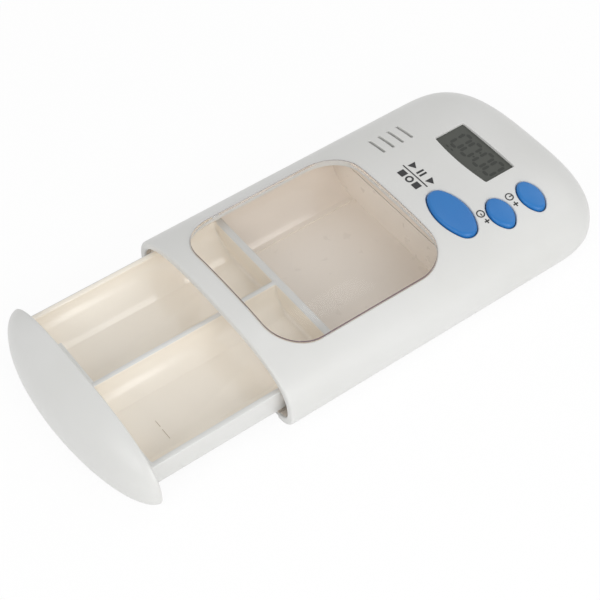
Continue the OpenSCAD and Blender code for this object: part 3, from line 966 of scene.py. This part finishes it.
@dataclass
class UpperHousing:
    """The crowned upper moulding with its openings."""

    rim_round: float = 0.6
    inner_round: float = 0.45
    plate_t: float = 1.2
    plate_inset: float = 4.6
    lcd: tuple[float, float, float, float] = (-0.3, 69.05, 16.8, 8.0)
    lcd_bulge: tuple[float, float] = (0.75, 0.1)
    slots: int = 4
    slot_pitch: float = 2.55
    slot_l: float = 5.6
    slot_w: float = 0.62
    slot_x: float = -14.77
    slot_y: float = 53.86
    button_gap: float = 0.2
    window_cut: Spot = (0.18, 9.3)
    display_cut: Spot = (0.12, 11.0)
    button_cut: Spot = (0.4, 9.9)
    slot_cut: Spot = (0.14, 10.5)
    rib_x: float = 22.1
    bay_end: float = 47.85

    def build(self) -> Piece:
        """Build the shell, cut its openings and add its inner ribs.

        Returns:
            The upper housing.
        """
        shell = self._outer()
        combine(shell, self._hollow())
        combine(shell, self._openings())
        outward(shell, 2e-7)
        smooth(shell, 30)
        self._follow_crown(shell)
        strip = Drawer().shade_painted_lining()
        smooth(strip, 32)
        shell = join(shell, strip, *self._ribs())
        shell.name = "housing_shell"
        self._paint_inner_shade(shell)
        hand_in(shell, "housing", HOUSING_WHITE, "upper_housing")
        return shell

    def _outer(self) -> Piece:
        """Loft the outer form with a rounded rim at the mouth."""
        r = self.rim_round

        def skin(y: float) -> float:
            """Inset of the skin by the rim's rounding."""
            return r - math.sqrt(r * r - (r - y) ** 2) if y < r else 0.0
        sides = [0, 0.03, 0.09, 0.18, 0.3, 0.44, r, 1.1]
        sides += [2 + 67.2 * i / 36 for i in range(36)]
        rings = FORM.housing_rings(sides, skin, 0.0, FORM.lower_roll)
        return loft("housing_shell", rings, True, False)

    def _hollow(self) -> Piece:
        """Loft the hollow, flared a little at the mouth."""
        r = self.inner_round

        def skin(y: float) -> float:
            """Inset of the hollow, less near the mouth."""
            if y >= r:
                return FORM.wall
            y = max(y, 0)
            return FORM.wall - (r - math.sqrt(r * r - (r - y) ** 2)) * 0.95
        sides = [-1, 0, 0.05, 0.13, 0.24, 0.36, r]
        sides += [1.2 + 68 * i / 24 for i in range(24)]
        rings = FORM.housing_rings(sides, skin, self.plate_t, FORM.lower_roll - 0.6,
                                   24, 5, 22)
        return loft("hollow", rings, True, False)

    def _openings(self) -> Piece:
        """Make all the cutters as one loose body.

        Each cut is a pair: the rim's rounding, and the cutter's underside.
        """
        gap = 2 * WINDOW.gap
        pane = round_rect(WINDOW.w + gap, WINDOW.l + gap, WINDOW.r, 14, 12)
        cuts = [("window_cutter", pane, WINDOW.middle, *self.window_cut),
                ("display_cutter", self.lcd_outline(), self.lcd[:2], *self.display_cut)]
        gap = 2 * self.button_gap
        cuts += [("button_cutter", oval(button.w + gap, button.h + gap),
                  (button.x, button.y), *self.button_cut) for button in BUTTONS]
        slot = round_rect(self.slot_l, self.slot_w, self.slot_w / 2, 5, 8)
        cuts += [("slot_cutter", slot, (self.slot_x, self.slot_y + i * self.slot_pitch),
                  *self.slot_cut) for i in range(self.slots)]
        tools = [flared_cutter(*cut) for cut in cuts]
        plate = self._plate_outline()
        tools.append(loft("plate_cutter", [[(x, y, z) for x, y, _ in plate]
                                           for z in (-1, self.plate_t + 0.15)]))
        return join(*tools)

    def lcd_outline(self) -> list[Spot]:
        """Outline of the display's opening, which bulges toward the buttons."""
        w, h = self.lcd[2:]
        return [(px, py * (1 + 2 * self.lcd_bulge[py > 0] / h
                           * (1 - (2 * px / w) ** 2)))
                for px, py in round_rect(w, h, 0.3, 5, 14)]

    def _plate_outline(self) -> list[Place]:
        """Outline of the base plate's opening."""
        power, inset = 2 / FORM.rear_power, self.plate_inset
        half = [(FORM.half_w - inset, y, 0.0)
                for y in (-2.0, 10.0, 25.0, 40.0, 55.0, FORM.rear_start)]
        for j in range(1, 31):
            t = QUARTER * j / 30
            across = (FORM.half_w - inset) * max(math.cos(t), 0) ** power
            along = (FORM.rear_round - inset) * math.sin(t) ** power
            half.append((across if j < 30 else 0.0, FORM.rear_start + along, 0.0))
        return FORM.whole(half)

    def _ribs(self) -> list[Piece]:
        """Hold-down ribs, drawer stops, bulkhead ribs and the sound grid."""
        m, end, ribs = FORM.mouth, FORM.mouth + self.bay_end, []
        for side in (-1, 1):
            for name, (x0, x1), (y0, y1), (z0, z1) in (
                    ("rib", (self.rib_x, self.rib_x + 1), (1.5, 47.3), (8.6, 10.2)),
                    ("stop", (23.1, 25.6), (1.5, 4.2), (4.5, 8.5))):
                a, b = sorted((side * x0, side * x1))
                ribs.append(block(name, (a, m + y0, z0), (b, m + y1, z1)))
        for half, z0, z1 in ((21.4, 9.9, 11.8), (15.5, 11.7, 13.4)):
            ribs.append(block("rear_rib", (-half, end, z0), (half, end + 0.6, z1)))
        x0, y0 = self.slot_x - 3.35, m + self.slot_y - 1.6
        ribs.append(block("sound_grid", (x0, y0, 11.6), (x0 + 6.7, y0 + 10.9, 11.9)))
        return ribs

    def _paint_inner_shade(self, shell: Piece) -> None:
        """White outside and in the timer end; painted warm shade, a cream tone, inside
        the drawer's bay.
        """
        paint(shell, HOUSING_WHITE, BAY_SHADE_CREAM)
        for face in shell.data.polygons:
            x, y, z = (v / MM for v in face.center)
            y -= FORM.mouth
            # faces inside the bay get the cream painted shade
            if (abs(x) < FORM.half_w - 1.5 and 0.5 < y < self.bay_end + 0.3
                    and 0.6 < z < FORM.height(x, y) - 1.75):
                face.material_index = 1

    def _follow_crown(self, shell: Piece) -> None:
        """Shade the faces on the crown exactly as the formula turns.

        Args:
            shell: the cut shell, shaded smooth by angle.
        """
        mesh = shell.data
        normals = [n.vector.copy() for n in mesh.corner_normals]
        known: dict[int, tuple[Vector, float]] = {}
        for v in mesh.vertices:
            x, y, z = v.co[0] / MM, v.co[1] / MM - FORM.mouth, v.co[2] / MM
            share = min((z - FORM.waist_h - 0.8) / 3.5, 1)
            if share > 0 and y > 0.55 and abs(z - FORM.height(x, y)) < 0.008:
                known[v.index] = (FORM.normal(x, y), share)
        for face in mesh.polygons:
            for corner in face.loop_indices:
                true, share = known.get(mesh.loops[corner].vertex_index,
                                        (face.normal, 0))
                if share and face.normal.dot(true) > 0.93:
                    normals[corner] = normals[corner].lerp(true, share).normalized()
        mesh.normals_split_custom_set([n[:] for n in normals])


@dataclass
class ClearWindow:
    """The clear pane with its rounded proud edge, whose side faces carry painted shade.
    """

    edge_round: float = 0.14
    insets: tuple[float, ...] = (1.6, 3, 5, 7.5, 10.5, 14, 18.6)
    under_insets: tuple[float, ...] = (18.6, 14, 10.5, 7.5, 4.5, 2.4, 0.8, 0)

    def build(self) -> Piece:
        """Build the pane.

        Returns:
            The clear window.
        """
        under = WINDOW.pane_t - WINDOW.proud
        rings = [self._ring(inset, -under) for inset in self.under_insets]
        rings.append(self._ring(0, 0.02))
        r = self.edge_round
        for i in range(6):
            t = QUARTER * i / 5
            rings.append(self._ring(r * (1 - math.cos(t)),
                                    WINDOW.proud - r * (1 - math.sin(t))))
        rings += [self._ring(inset, WINDOW.proud) for inset in (0.8, *self.insets)]
        pane = loft("window_pane", rings)
        smooth(pane, 40)
        paint(pane, CLEAR_WINDOW, WINDOW_EDGE_SHADE)
        # side faces above the crown get the dark painted shade of the rim's gap
        for face in pane.data.polygons:
            x, y, z = (v / MM for v in face.center)
            if abs(face.normal.z) < 0.8 and z > FORM.height(x, y - FORM.mouth):
                face.material_index = 1
        hand_in(pane, "housing", CLEAR_WINDOW, "window_lens")
        return pane

    def _ring(self, inset: float, rise: float) -> list[Place]:
        """One ring of the pane, following the crown.

        Args:
            inset: distance inside the pane's edge.
            rise: height over the crown.

        Returns:
            The ring's places.
        """
        outline = round_rect(WINDOW.w - 2 * inset, WINDOW.l - 2 * inset,
                             WINDOW.r - inset * 0.8, 14, 12)
        return FORM.on_crown(outline, WINDOW.middle, rise)


@dataclass
class PushButtons:
    """The three domed oval buttons."""

    edge: float = 0.7
    flange: float = 0.8
    dome: tuple[float, ...] = (0.96, 0.9, 0.82, 0.72, 0.6, 0.46, 0.32, 0.18, 0.06)

    def build(self) -> list[Piece]:
        """Build each button on its own body.

        Returns:
            The buttons.
        """
        caps = []
        for button in BUTTONS:
            cap = self._cap(button)
            paint(cap, BUTTON_BLUE)
            hand_in(cap, button.body, BUTTON_BLUE, button.body)
            caps.append(cap)
        return caps

    def _cap(self, button: ButtonSize) -> Piece:
        """Loft one button from its skirt over its dome.

        Args:
            button: the button's size and place.

        Returns:
            The closed button.
        """
        rim, e = button.rise * 0.86, self.edge
        outline = oval(button.w, button.h)
        wide = oval(button.w + self.flange, button.h + self.flange)
        steps = [(wide, 1, -2.2), (wide, 1, -2.05),
                 (outline, 1, -2.0), (outline, 1, -0.5)]
        for i in range(7):
            t = QUARTER * i / 6
            steps.append((grown(outline, -e * (1 - math.cos(t))), 1,
                          rim - e * (1 - math.sin(t))))
        top = grown(outline, -e)
        steps += [(top, share, rim + (button.rise - rim) * (1 - share ** 2))
                  for share in self.dome]
        cap = loft(button.name, [self._ring(button, *step) for step in steps])
        smooth(cap, 50)
        return cap

    def _ring(self, button: ButtonSize, outline: Sequence[Spot], share: float,
              rise: float) -> list[Place]:
        """One ring of a button over the crown."""
        places = []
        for x, y in outline:
            px, py = button.x + x * share, button.y + y * share
            slope = self._lean(button, px, py)
            places.append((px, py + FORM.mouth, slope + rise))
        return places

    def _lean(self, button: ButtonSize, x: float, y: float) -> float:
        """Height of the plane that leans with the shoulder, softened."""
        near = FORM.height(x, y)
        low = FORM.height(button.x + button.w / 2, button.y)
        high = FORM.height(button.x - button.w / 2, button.y)
        flat = high + (low - high) * (x - button.x + button.w / 2) / button.w
        return near * 0.6 + flat * 0.4


@dataclass
class Display:
    """The display glass and its dark segments."""

    x: float = 0.0
    y: float = 69.35
    glass: float = 13.4
    top: float = 14.25
    digit_h: float = 4.6
    digit_w: float = 2.3
    bar: float = 0.7
    places: tuple[float, ...] = (-4.9, -1.6, 2.3, 5.6)

    def build(self) -> list[Piece]:
        """Build the cover over the glass, and four plain digits with a colon.

        Returns:
            The cover, and the segments as one piece.
        """
        housing = UpperHousing()
        outline = grown(housing.lcd_outline(), -0.03)
        cover = loft("display_cover", [FORM.at_height(outline, housing.lcd[:2], z)
                                       for z in (self.glass + 0.01, self.top)])
        smooth(cover, 30)
        paint(cover, DISPLAY_GREY)
        hand_in(cover, "housing", DISPLAY_GREY)
        first = self._zero(self.places[0])
        others = [own_copy(first, "digit", (place - self.places[0], 0, 0))
                  for place in self.places[1:]]
        others += [self._segment((0.35, y), (0.27, 0.27)) for y in (0.9, -1.0)]
        others += [self._segment((x, -3.35), (0.42, 0.16)) for x in (-5.6, -4.1)]
        digits = join(first, *others)
        digits.name = "display_digits"
        outward(digits)
        paint(digits, DIGIT_DARK)
        hand_in(digits, "housing", DIGIT_DARK)
        return [cover, digits]

    def _zero(self, place: float) -> Piece:
        """One zero of six tapered segments."""
        w, h, t = self.digit_w, self.digit_h, self.bar
        bars = [self._segment((place, y), (w / 2 - 0.35, t / 2)) for y in (h / 2, -h / 2)]
        bars += [self._segment((place + x, y), (t / 2, h / 4 - 0.22))
                 for x in (-w / 2, w / 2) for y in (h / 4, -h / 4)]
        return join(*bars)

    def _segment(self, middle: Spot, half: Spot) -> Piece:
        """One bar with bevelled ends."""
        x, y = self.x + middle[0], self.y + FORM.mouth + middle[1]
        piece = block("digit", (x - half[0], y - half[1], self.top + 0.01),
                      (x + half[0], y + half[1], self.top + 0.03))
        bevel_where(piece, min(half) * 0.8, 1, lambda m, d: abs(d.z) > 0.9)
        return piece


@dataclass
class PrintedMarks:
    """Small generic signs printed beside the buttons."""

    ink: float = 0.03
    lift: float = 0.012
    span: float = 0.4
    circle_r: float = 0.95

    def build(self) -> Piece:
        """Build all the printed signs as one thin piece.

        Returns:
            The print.
        """
        print_work = join(*self._start_signs(), *self._clock((14.0, 58.45), False),
                          *self._clock((13.9, 66.5), True))
        print_work.name = "printed_signs"
        self._wrap(print_work)
        paint(print_work, PRINT_BLACK)
        hand_in(print_work, "housing", PRINT_BLACK)
        return print_work

    def _start_signs(self) -> list[Piece]:
        """Triangles, bars, a rule, squares and a ring by the large button."""
        top, rule, low = 55.75, 54.1, 52.5
        return [self._triangle((-4.9, top), 1.15), self._bar((-2.5, top), 0.5, 1.9),
                self._bar((-1.5, top), 0.5, 1.9), self._triangle((0.9, top), 1.15),
                self._bar((-2.15, rule), 8.1, 0.28), self._bar((-4.4, low), 1.7, 1.7),
                self._circle((-2.1, low), 0.42), self._bar((0.2, low), 1.7, 1.7)]

    def _clock(self, middle: Spot, upright: bool) -> list[Piece]:
        """A small dial with one hand, and a plus sign beside it.

        Args:
            middle: the dial's middle.
            upright: whether the hand points along Y.

        Returns:
            The sign's parts.
        """
        x, y = middle
        hand = ((x, y + 0.3), 0.26, 0.7) if upright else ((x + 0.22, y), 0.55, 0.26)
        return [self._circle(middle, 0.26), self._bar(*hand),
                self._bar((x + 2.1, y), 1.2, 0.3), self._bar((x + 2.1, y), 0.3, 1.2)]

    def _bar(self, middle: Spot, w: float, h: float) -> Piece:
        """A bar of ink."""
        x, y = middle[0], middle[1] + FORM.mouth
        return block("sign", (x - w / 2, y - h / 2, 0), (x + w / 2, y + h / 2, self.ink))

    def _disc(self, middle: Spot, r: float, corners: int, deep: float) -> Piece:
        """A disc at the ink's height, not yet settled."""
        rest_hands()
        bpy.ops.mesh.primitive_cylinder_add(
            vertices=corners, radius=r * MM, depth=deep * MM,
            location=(middle[0] * MM, (middle[1] + FORM.mouth) * MM, self.ink / 2 * MM))
        return named("sign")

    def _triangle(self, middle: Spot, r: float) -> Piece:
        """A triangle that points along +X."""
        sign = self._disc(middle, r, 3, self.ink)
        sign.rotation_euler = (0, 0, math.radians(-90))
        settle(sign)
        return sign

    def _circle(self, middle: Spot, line: float) -> Piece:
        """A ring of ink, from a disc with its middle cut out."""
        discs = []
        for radius, deep in ((self.circle_r, self.ink), (self.circle_r - line, 1.0)):
            discs.append(self._disc(middle, radius, 40, deep))
            settle(discs[-1])
        combine(*discs)
        return discs[0]

    def _wrap(self, work: Piece) -> None:
        """Cut the print into short spans and lay it on the crown."""
        with editing(work):
            for step in range(-20, 60):
                bpy.ops.mesh.select_all(action="SELECT")
                bpy.ops.mesh.bisect(plane_co=(step * self.span * MM, 0, 0),
                                    plane_no=(1, 0, 0), use_fill=False)
            mesh = bmesh.from_edit_mesh(work.data)
            for vert in mesh.verts:
                x, y, z = vert.co / MM
                crown = FORM.height(x, y - FORM.mouth)
                vert.co.z = (crown + self.lift + z) * MM
            bmesh.update_edit_mesh(work.data)
        outward(work)


@dataclass
class Drawer:
    """The drawer box with its two coved compartments, and its rounded cap."""

    pulled_out: float = 29.9
    length: float = 47.45
    half: float = 22.8
    low: float = 1.5
    top: float = 8.3
    wall: float = 1.3
    rear_wall: float = 1.8
    floor: float = 1.2
    corner: float = 0.4
    cove_drop: float = 5.26
    far_cove: float = 6.3
    inner_cove: float = 4.15
    crease_turn: float = 72.0
    end_cove: float = 0.8
    divider_x: float = -0.5
    divider_t: float = 1.2
    rim_round: float = 0.3
    cap_round: float = 0.55
    rib_span: Spot = (-13.2, -0.9)
    mark_y: float = -20.9

    @property
    def y0(self) -> float:
        """Front of the box in the part's frame."""
        return FORM.mouth - self.pulled_out

    @property
    def y1(self) -> float:
        """Rear of the box in the part's frame."""
        return self.y0 + self.length

    def build(self) -> list[Piece]:
        """Build the box and the cap.

        Returns:
            Both pieces.
        """
        return [self._box(), self._cap()]

    def _box(self) -> Piece:
        """Cut the compartments out of a rounded box."""
        box = block("drawer_box", (-self.half, self.y0, self.low),
                    (self.half, self.y1, self.top))
        combine(box, self._underside())
        bevel_where(box, 1.8, 8, lambda m, d: abs(d.y) > 0.9 and m.z < 1.6 and m.x > 0)
        bevel_where(box, 0.5, 4, lambda m, d: abs(d.z) > 0.9 and m.y > self.y1 - 1)
        bevel_where(box, self.rim_round, 4,
                    lambda m, d: m.z > self.top - 0.01 and m.y > self.y0 + 0.6)
        spans = ((-self.half + self.wall, self.divider_x - self.divider_t / 2,
                  self.far_cove, self.inner_cove),
                 (self.divider_x + self.divider_t / 2, self.half - self.wall,
                  self.inner_cove, self.inner_cove))
        tools = [self._pocket(*span) for span in spans]
        combine(box, join(*tools))
        outward(box)
        rib = block("drawer_rib",
                    (self.rib_span[0], self.y0 + self.wall - 0.3, self.top - 0.9),
                    (self.rib_span[1], self.y0 + self.wall + 1.4, self.top - 0.02))
        bevel_where(rib, 0.25, 3, lambda m, d: abs(d.x) > 0.9 and m.y > self.y0 + 2)
        box = join(box, rib, *self._floor_mark())
        box.name = "drawer_box"
        sharpen_where(box, lambda m, d: abs(m.z - self.low - self.floor) < 0.01
                      and abs(d.y) > 0.9 and abs(d.z) < 0.01)
        smooth(box, 32)
        self._paint_inner_shade(box)
        hand_in(box, "drawer", TRAY_SHADE_CREAM, "tray")
        return box

    def _pocket(self, x0: float, x1: float, left_cove: float,
                right_cove: float) -> Piece:
        """Loft a compartment's cutter with coves that meet the floor in a crease.

        Args:
            x0: its left wall.
            x1: its right wall.
            left_cove: width of the cove at the left wall.
            right_cove: width of the cove at the right wall.

        Returns:
            The cutter.
        """
        w, l = x1 - x0, self.length - self.wall - self.rear_wall
        cx, cy = (x0 + x1) / 2, (self.y0 + self.wall + self.y1 - self.rear_wall) / 2
        base = self.low + self.floor
        last = math.radians(self.crease_turn)
        rings = []
        for i in range(25):
            t = last * (1 - i / 24)
            rise = self.cove_drop * (math.sin(last) - math.sin(t))
            share = (1 - math.cos(t)) / (1 - math.cos(last))
            in_left, in_right = left_cove * share, right_cove * share
            left = max(self.end_cove - rise, 0)
            in_y = self.end_cove - math.sqrt(self.end_cove ** 2 - left ** 2)
            outline = round_rect(w - in_left - in_right, l - 2 * in_y, self.corner,
                                 6, 6)
            shift = cx + (in_left - in_right) / 2
            rings.append([(x + shift, y + cy, base + rise) for x, y in outline])
        flare = self.rim_round
        outline = round_rect(w, l, self.corner, 6, 6)
        for i in range(5):
            t = math.radians(78) * i / 4
            out, rise = flare * (1 - math.cos(t)), -flare * (1 - math.sin(t))
            rings.append([(x + cx, y + cy, self.top + rise)
                          for x, y in grown(outline, out)])
        rings.append([(x + cx, y + cy, self.top + 0.05)
                      for x, y in grown(outline, flare * 1.15)])
        rings.append([(x, y, self.top + 2) for x, y, _ in rings[-1]])
        return loft("pocket", rings)

    def cove_line(self, away: float, turn: float | None = None) -> list[Spot]:
        """Section of the far cove, from the wall to the floor, shifted outward.

        Args:
            away: distance outside the compartment's inner face.
            turn: how far it turns in degrees, by default to the crease.

        Returns:
            Places across and in height.
        """
        last = math.radians(self.crease_turn)
        reach = self.far_cove / (1 - math.cos(last))
        line = []
        for i in range(25):
            t = math.radians(turn or self.crease_turn) * i / 24
            x = -self.half + self.wall + reach * (1 - math.cos(t))
            z = self.low + self.floor + self.cove_drop * (math.sin(last) - math.sin(t))
            nx, nz = self.cove_drop * math.cos(t), reach * math.sin(t)
            size = math.hypot(nx, nz)
            line.append((x - away * nx / size, z - away * nz / size))
        return line

    def _underside(self) -> Piece:
        """Cutter that rounds the far lower corner along the cove."""
        line = self.cove_line(self.floor)
        section = [(-self.half - 2, line[0][1])] + line
        section += [(line[-1][0], 0.0), (-self.half - 2, 0.0)]
        return extruded("underside", section, (self.y0 - 1, self.y1 + 1))

    def shade_painted_lining(self) -> Piece:
        """The bay's coved far side, which the drawer's far corner runs along.

        Returns:
            A closed strip for the housing.
        """
        line = self.cove_line(self.floor + 0.2, 88)
        section = [(-25.4, 0.95), (-25.0, 8.6), (line[0][0], 8.6)] + line
        section += [(line[-1][0] + 0.6, 0.95)]
        return extruded("shade_painted_lining", section, (4.6 + FORM.mouth, 48.0 + FORM.mouth))

    def _floor_mark(self) -> list[Piece]:
        """Two faint raised lines on the near compartment's floor, coloured darker."""
        base, y = self.low + self.floor, FORM.mouth + self.mark_y
        return [block("floor_line", (x0, y + y0, base - 0.05), (x1, y + y1, base + 0.04))
                for x0, x1, y0, y1 in ((10.4, 12.2, -0.06, 0.06),
                                       (12.9, 15.6, -0.1, 0.02))]

    def _paint_inner_shade(self, box: Piece) -> None:
        """Painted warm shade, a cream tone, inside the compartments; white outside;
        darker lines on the floor.
        """
        paint(box, TRAY_SHADE_CREAM, HOUSING_WHITE, DARK_FLOOR_LINE)
        for face in box.data.polygons:
            x, y, z = (v / MM for v in face.center)
            # faces inside the compartments get the cream painted shade, the rest the
            # plain white
            inside = (-self.half + 0.6 < x < self.half - self.wall + 0.2
                      and self.low + 0.3 < z < self.top - (0.15 if x > -21 else -1)
                      and self.y0 + 0.6 < y < self.y1 - 0.6)
            if z > self.top - 1 and -13.3 < x < -0.8 and y < self.y0 + 2.75:
                inside = False
            face.material_index = 0 if inside else 1
            # the two short lines on the near floor get the darker colour
            if (10.3 < x < 15.7 and self.low + self.floor + 0.005 < z < 2.9
                    and abs(y - FORM.mouth + 20.92) < 0.2):
                face.material_index = 2

    def _cap(self) -> Piece:
        """Loft the rounded front cap with a softly rounded rear edge."""
        r = self.cap_round
        turns = [0, 0.25, 0.7, 1.3, 2.1, 3.1, 4.4, 6, 8.5]
        turns += [12 + 78 * i / 26 for i in range(27)]
        angles = turns + [180 - t for t in reversed(turns[:-1])]
        rings = []
        for inset, scale, share in FORM.side_turns(0.2, FORM.lower_roll, 7, 34):
            ring = []
            for angle in angles:
                t = math.radians(angle)
                depth = (FORM.cap_depth * scale ** 2.2 - inset) * math.sin(t)
                depth = max(depth, 0.0)
                left = max(r - depth, 0)
                skin = r - math.sqrt(r * r - left * left)
                x = ((FORM.half_w - skin) * scale - inset) * math.cos(t)
                ring.append((x, self.y0 - depth, FORM.level(share, skin)))
            rings.append(ring)
        cap = loft("drawer_cap", rings, True, False)
        smooth(cap, 40)
        paint(cap, HOUSING_WHITE)
        hand_in(cap, "drawer", HOUSING_WHITE, "tray_front")
        return cap


@dataclass
class InnerParts:
    """The CAD nodes that stay as they are and get their finishes."""

    finishes: dict[str, MouldedFinish] = field(default_factory=lambda: {
        "base_plate": BASE_WHITE_BAY_SHADE, "battery_door": HOUSING_WHITE,
        "housing_screws": PLATED_STEEL, "board_screws": PLATED_STEEL,
        "coin_cell": PLATED_STEEL, "quartz_crystal": PLATED_STEEL,
        "negative_contact": SPRING_BRASS, "positive_contact": SPRING_BRASS,
        "lcd_panel": DISPLAY_GREY, "lcd_frame": BLACK_RESIN,
        "zebra_strips": GREY_RUBBER, "keypad": GREY_RUBBER,
        "circuit_board": BOARD_GREEN, "board_parts": FIRED_CERAMIC,
        "chip_cover": BLACK_RESIN, "buzzer": BLACK_RESIN,
    })

    def dress(self) -> None:
        """Dress each node."""
        for node, finish in self.finishes.items():
            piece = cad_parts[node]
            paint(piece, finish)
            LOG.info("%s is dressed in %s", node, finish.name)


@dataclass(frozen=True)
class Softbox:
    """A soft rectangular lamp: place, aim and size in mm, power in watts."""

    name: str
    spot: Place
    aim: Place
    size: Spot
    power: float

    def hang(self) -> None:
        """Add the lamp, facing its aim."""
        rest_hands()
        bpy.ops.object.light_add(type="AREA", location=[v * MM for v in self.spot])
        lamp = bpy.context.object
        lamp.name = self.name
        lamp.data.shape = "RECTANGLE"
        lamp.data.size, lamp.data.size_y = (v * MM for v in self.size)
        lamp.data.energy = self.power
        gaze = (Vector(self.aim) - Vector(self.spot)) * MM
        lamp.rotation_euler = gaze.to_track_quat("-Z", "Y").to_euler()


LAMPS = (
    Softbox("overhead_strip", (-97, 117, 430), (-97, 117, 0), (94, 140), 0.1),
    Softbox("side_softbox", (420, -60, 190), (5, -5, 5), (300, 300), 0.8),
    Softbox("front_softbox", (60, -430, 260), (0, -10, 5), (320, 260), 0.46),
    Softbox("rear_softbox", (40, 420, 420), (0, 10, 5), (360, 300), 0.36),
)
SEEN_RAYS = ("Camera", "Glossy", "Transmission")


@dataclass
class Studio:
    """Floor, surroundings, soft lights and the camera."""

    azimuth: float = 53.219
    elevation: float = 49.632
    distance: float = 319.404
    focal_px: float = 1571.53
    photo_px: float = 600
    sensor: float = 36
    aim: Place = (6.117, -26.299, 8.0)
    floor_z: float = -0.02
    floor_glow: float = 1.012
    glow_share: float = 0.9
    sky_light: float = 0.56

    def build(self) -> None:
        """Set the whole studio."""
        self._camera()
        self._floor()
        self._world()
        for lamp in LAMPS:
            lamp.hang()
        bpy.context.scene.view_settings.view_transform = "Standard"

    def _camera(self) -> None:
        """Place the camera at the photograph's angle."""
        az, el = math.radians(self.azimuth), math.radians(self.elevation)
        back = Vector((math.sin(az) * math.cos(el), -math.cos(az) * math.cos(el),
                       math.sin(el)))
        right = Vector((math.cos(az), math.sin(az), 0))
        rest_hands()
        bpy.ops.object.camera_add()
        camera = named("photo_camera")
        turn = Matrix((right, back.cross(right), back)).transposed().to_4x4()
        spot = (Vector(self.aim) + back * self.distance) * MM
        camera.matrix_world = Matrix.Translation(spot) @ turn
        camera.data.sensor_fit = "HORIZONTAL"
        camera.data.sensor_width = self.sensor
        camera.data.lens = self.focal_px * self.sensor / self.photo_px
        camera.data.clip_start = 0.01
        camera.data.clip_end = 20
        bpy.context.scene.camera = camera

    def _floor(self) -> None:
        """Add a wide pale floor that keeps the shadow."""
        rest_hands()
        bpy.ops.mesh.primitive_plane_add(size=6, location=(0, 0, self.floor_z * MM))
        floor = named("studio_floor")
        with editing(floor):
            bpy.ops.mesh.subdivide(number_cuts=3)
        material = bpy.data.materials.new("studio_floor")
        bench = NodeBench(material)
        surface = bench.own("Principled BSDF", {
            "Base Color": (0.92, 0.92, 0.92, 1), "Roughness": 0.9,
            "Specular IOR Level": 0.1})
        glow = bench.add("Emission", {"Strength": self.floor_glow})
        share = bench.math("MULTIPLY", bench.rays(*SEEN_RAYS), self.glow_share)
        bench.blend(share, surface.outputs["BSDF"], glow.outputs["Emission"])
        floor.data.materials.append(material)

    def _world(self) -> None:
        """Plain white surroundings, which light less than they show."""
        world = bpy.data.worlds.new("studio")
        bpy.context.scene.world = world
        bench = NodeBench(world)
        level = bench.add("MapRange", {"Value": bench.rays(*SEEN_RAYS),
                                       "To Min": self.sky_light, "To Max": 1.0})
        bench.own("Background", {"Color": (1, 1, 1, 1),
                                 "Strength": level.outputs["Result"]})


def main() -> None:
    """Build the sub-assemblies in order."""
    logging.basicConfig(level=logging.INFO, format="%(name)s: %(message)s")
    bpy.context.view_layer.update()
    Studio().build()
    UpperHousing().build()
    ClearWindow().build()
    Display().build()
    PushButtons().build()
    PrintedMarks().build()
    Drawer().build()
    InnerParts().dress()
    bpy.context.view_layer.update()


if __name__ == "__main__":
    main()
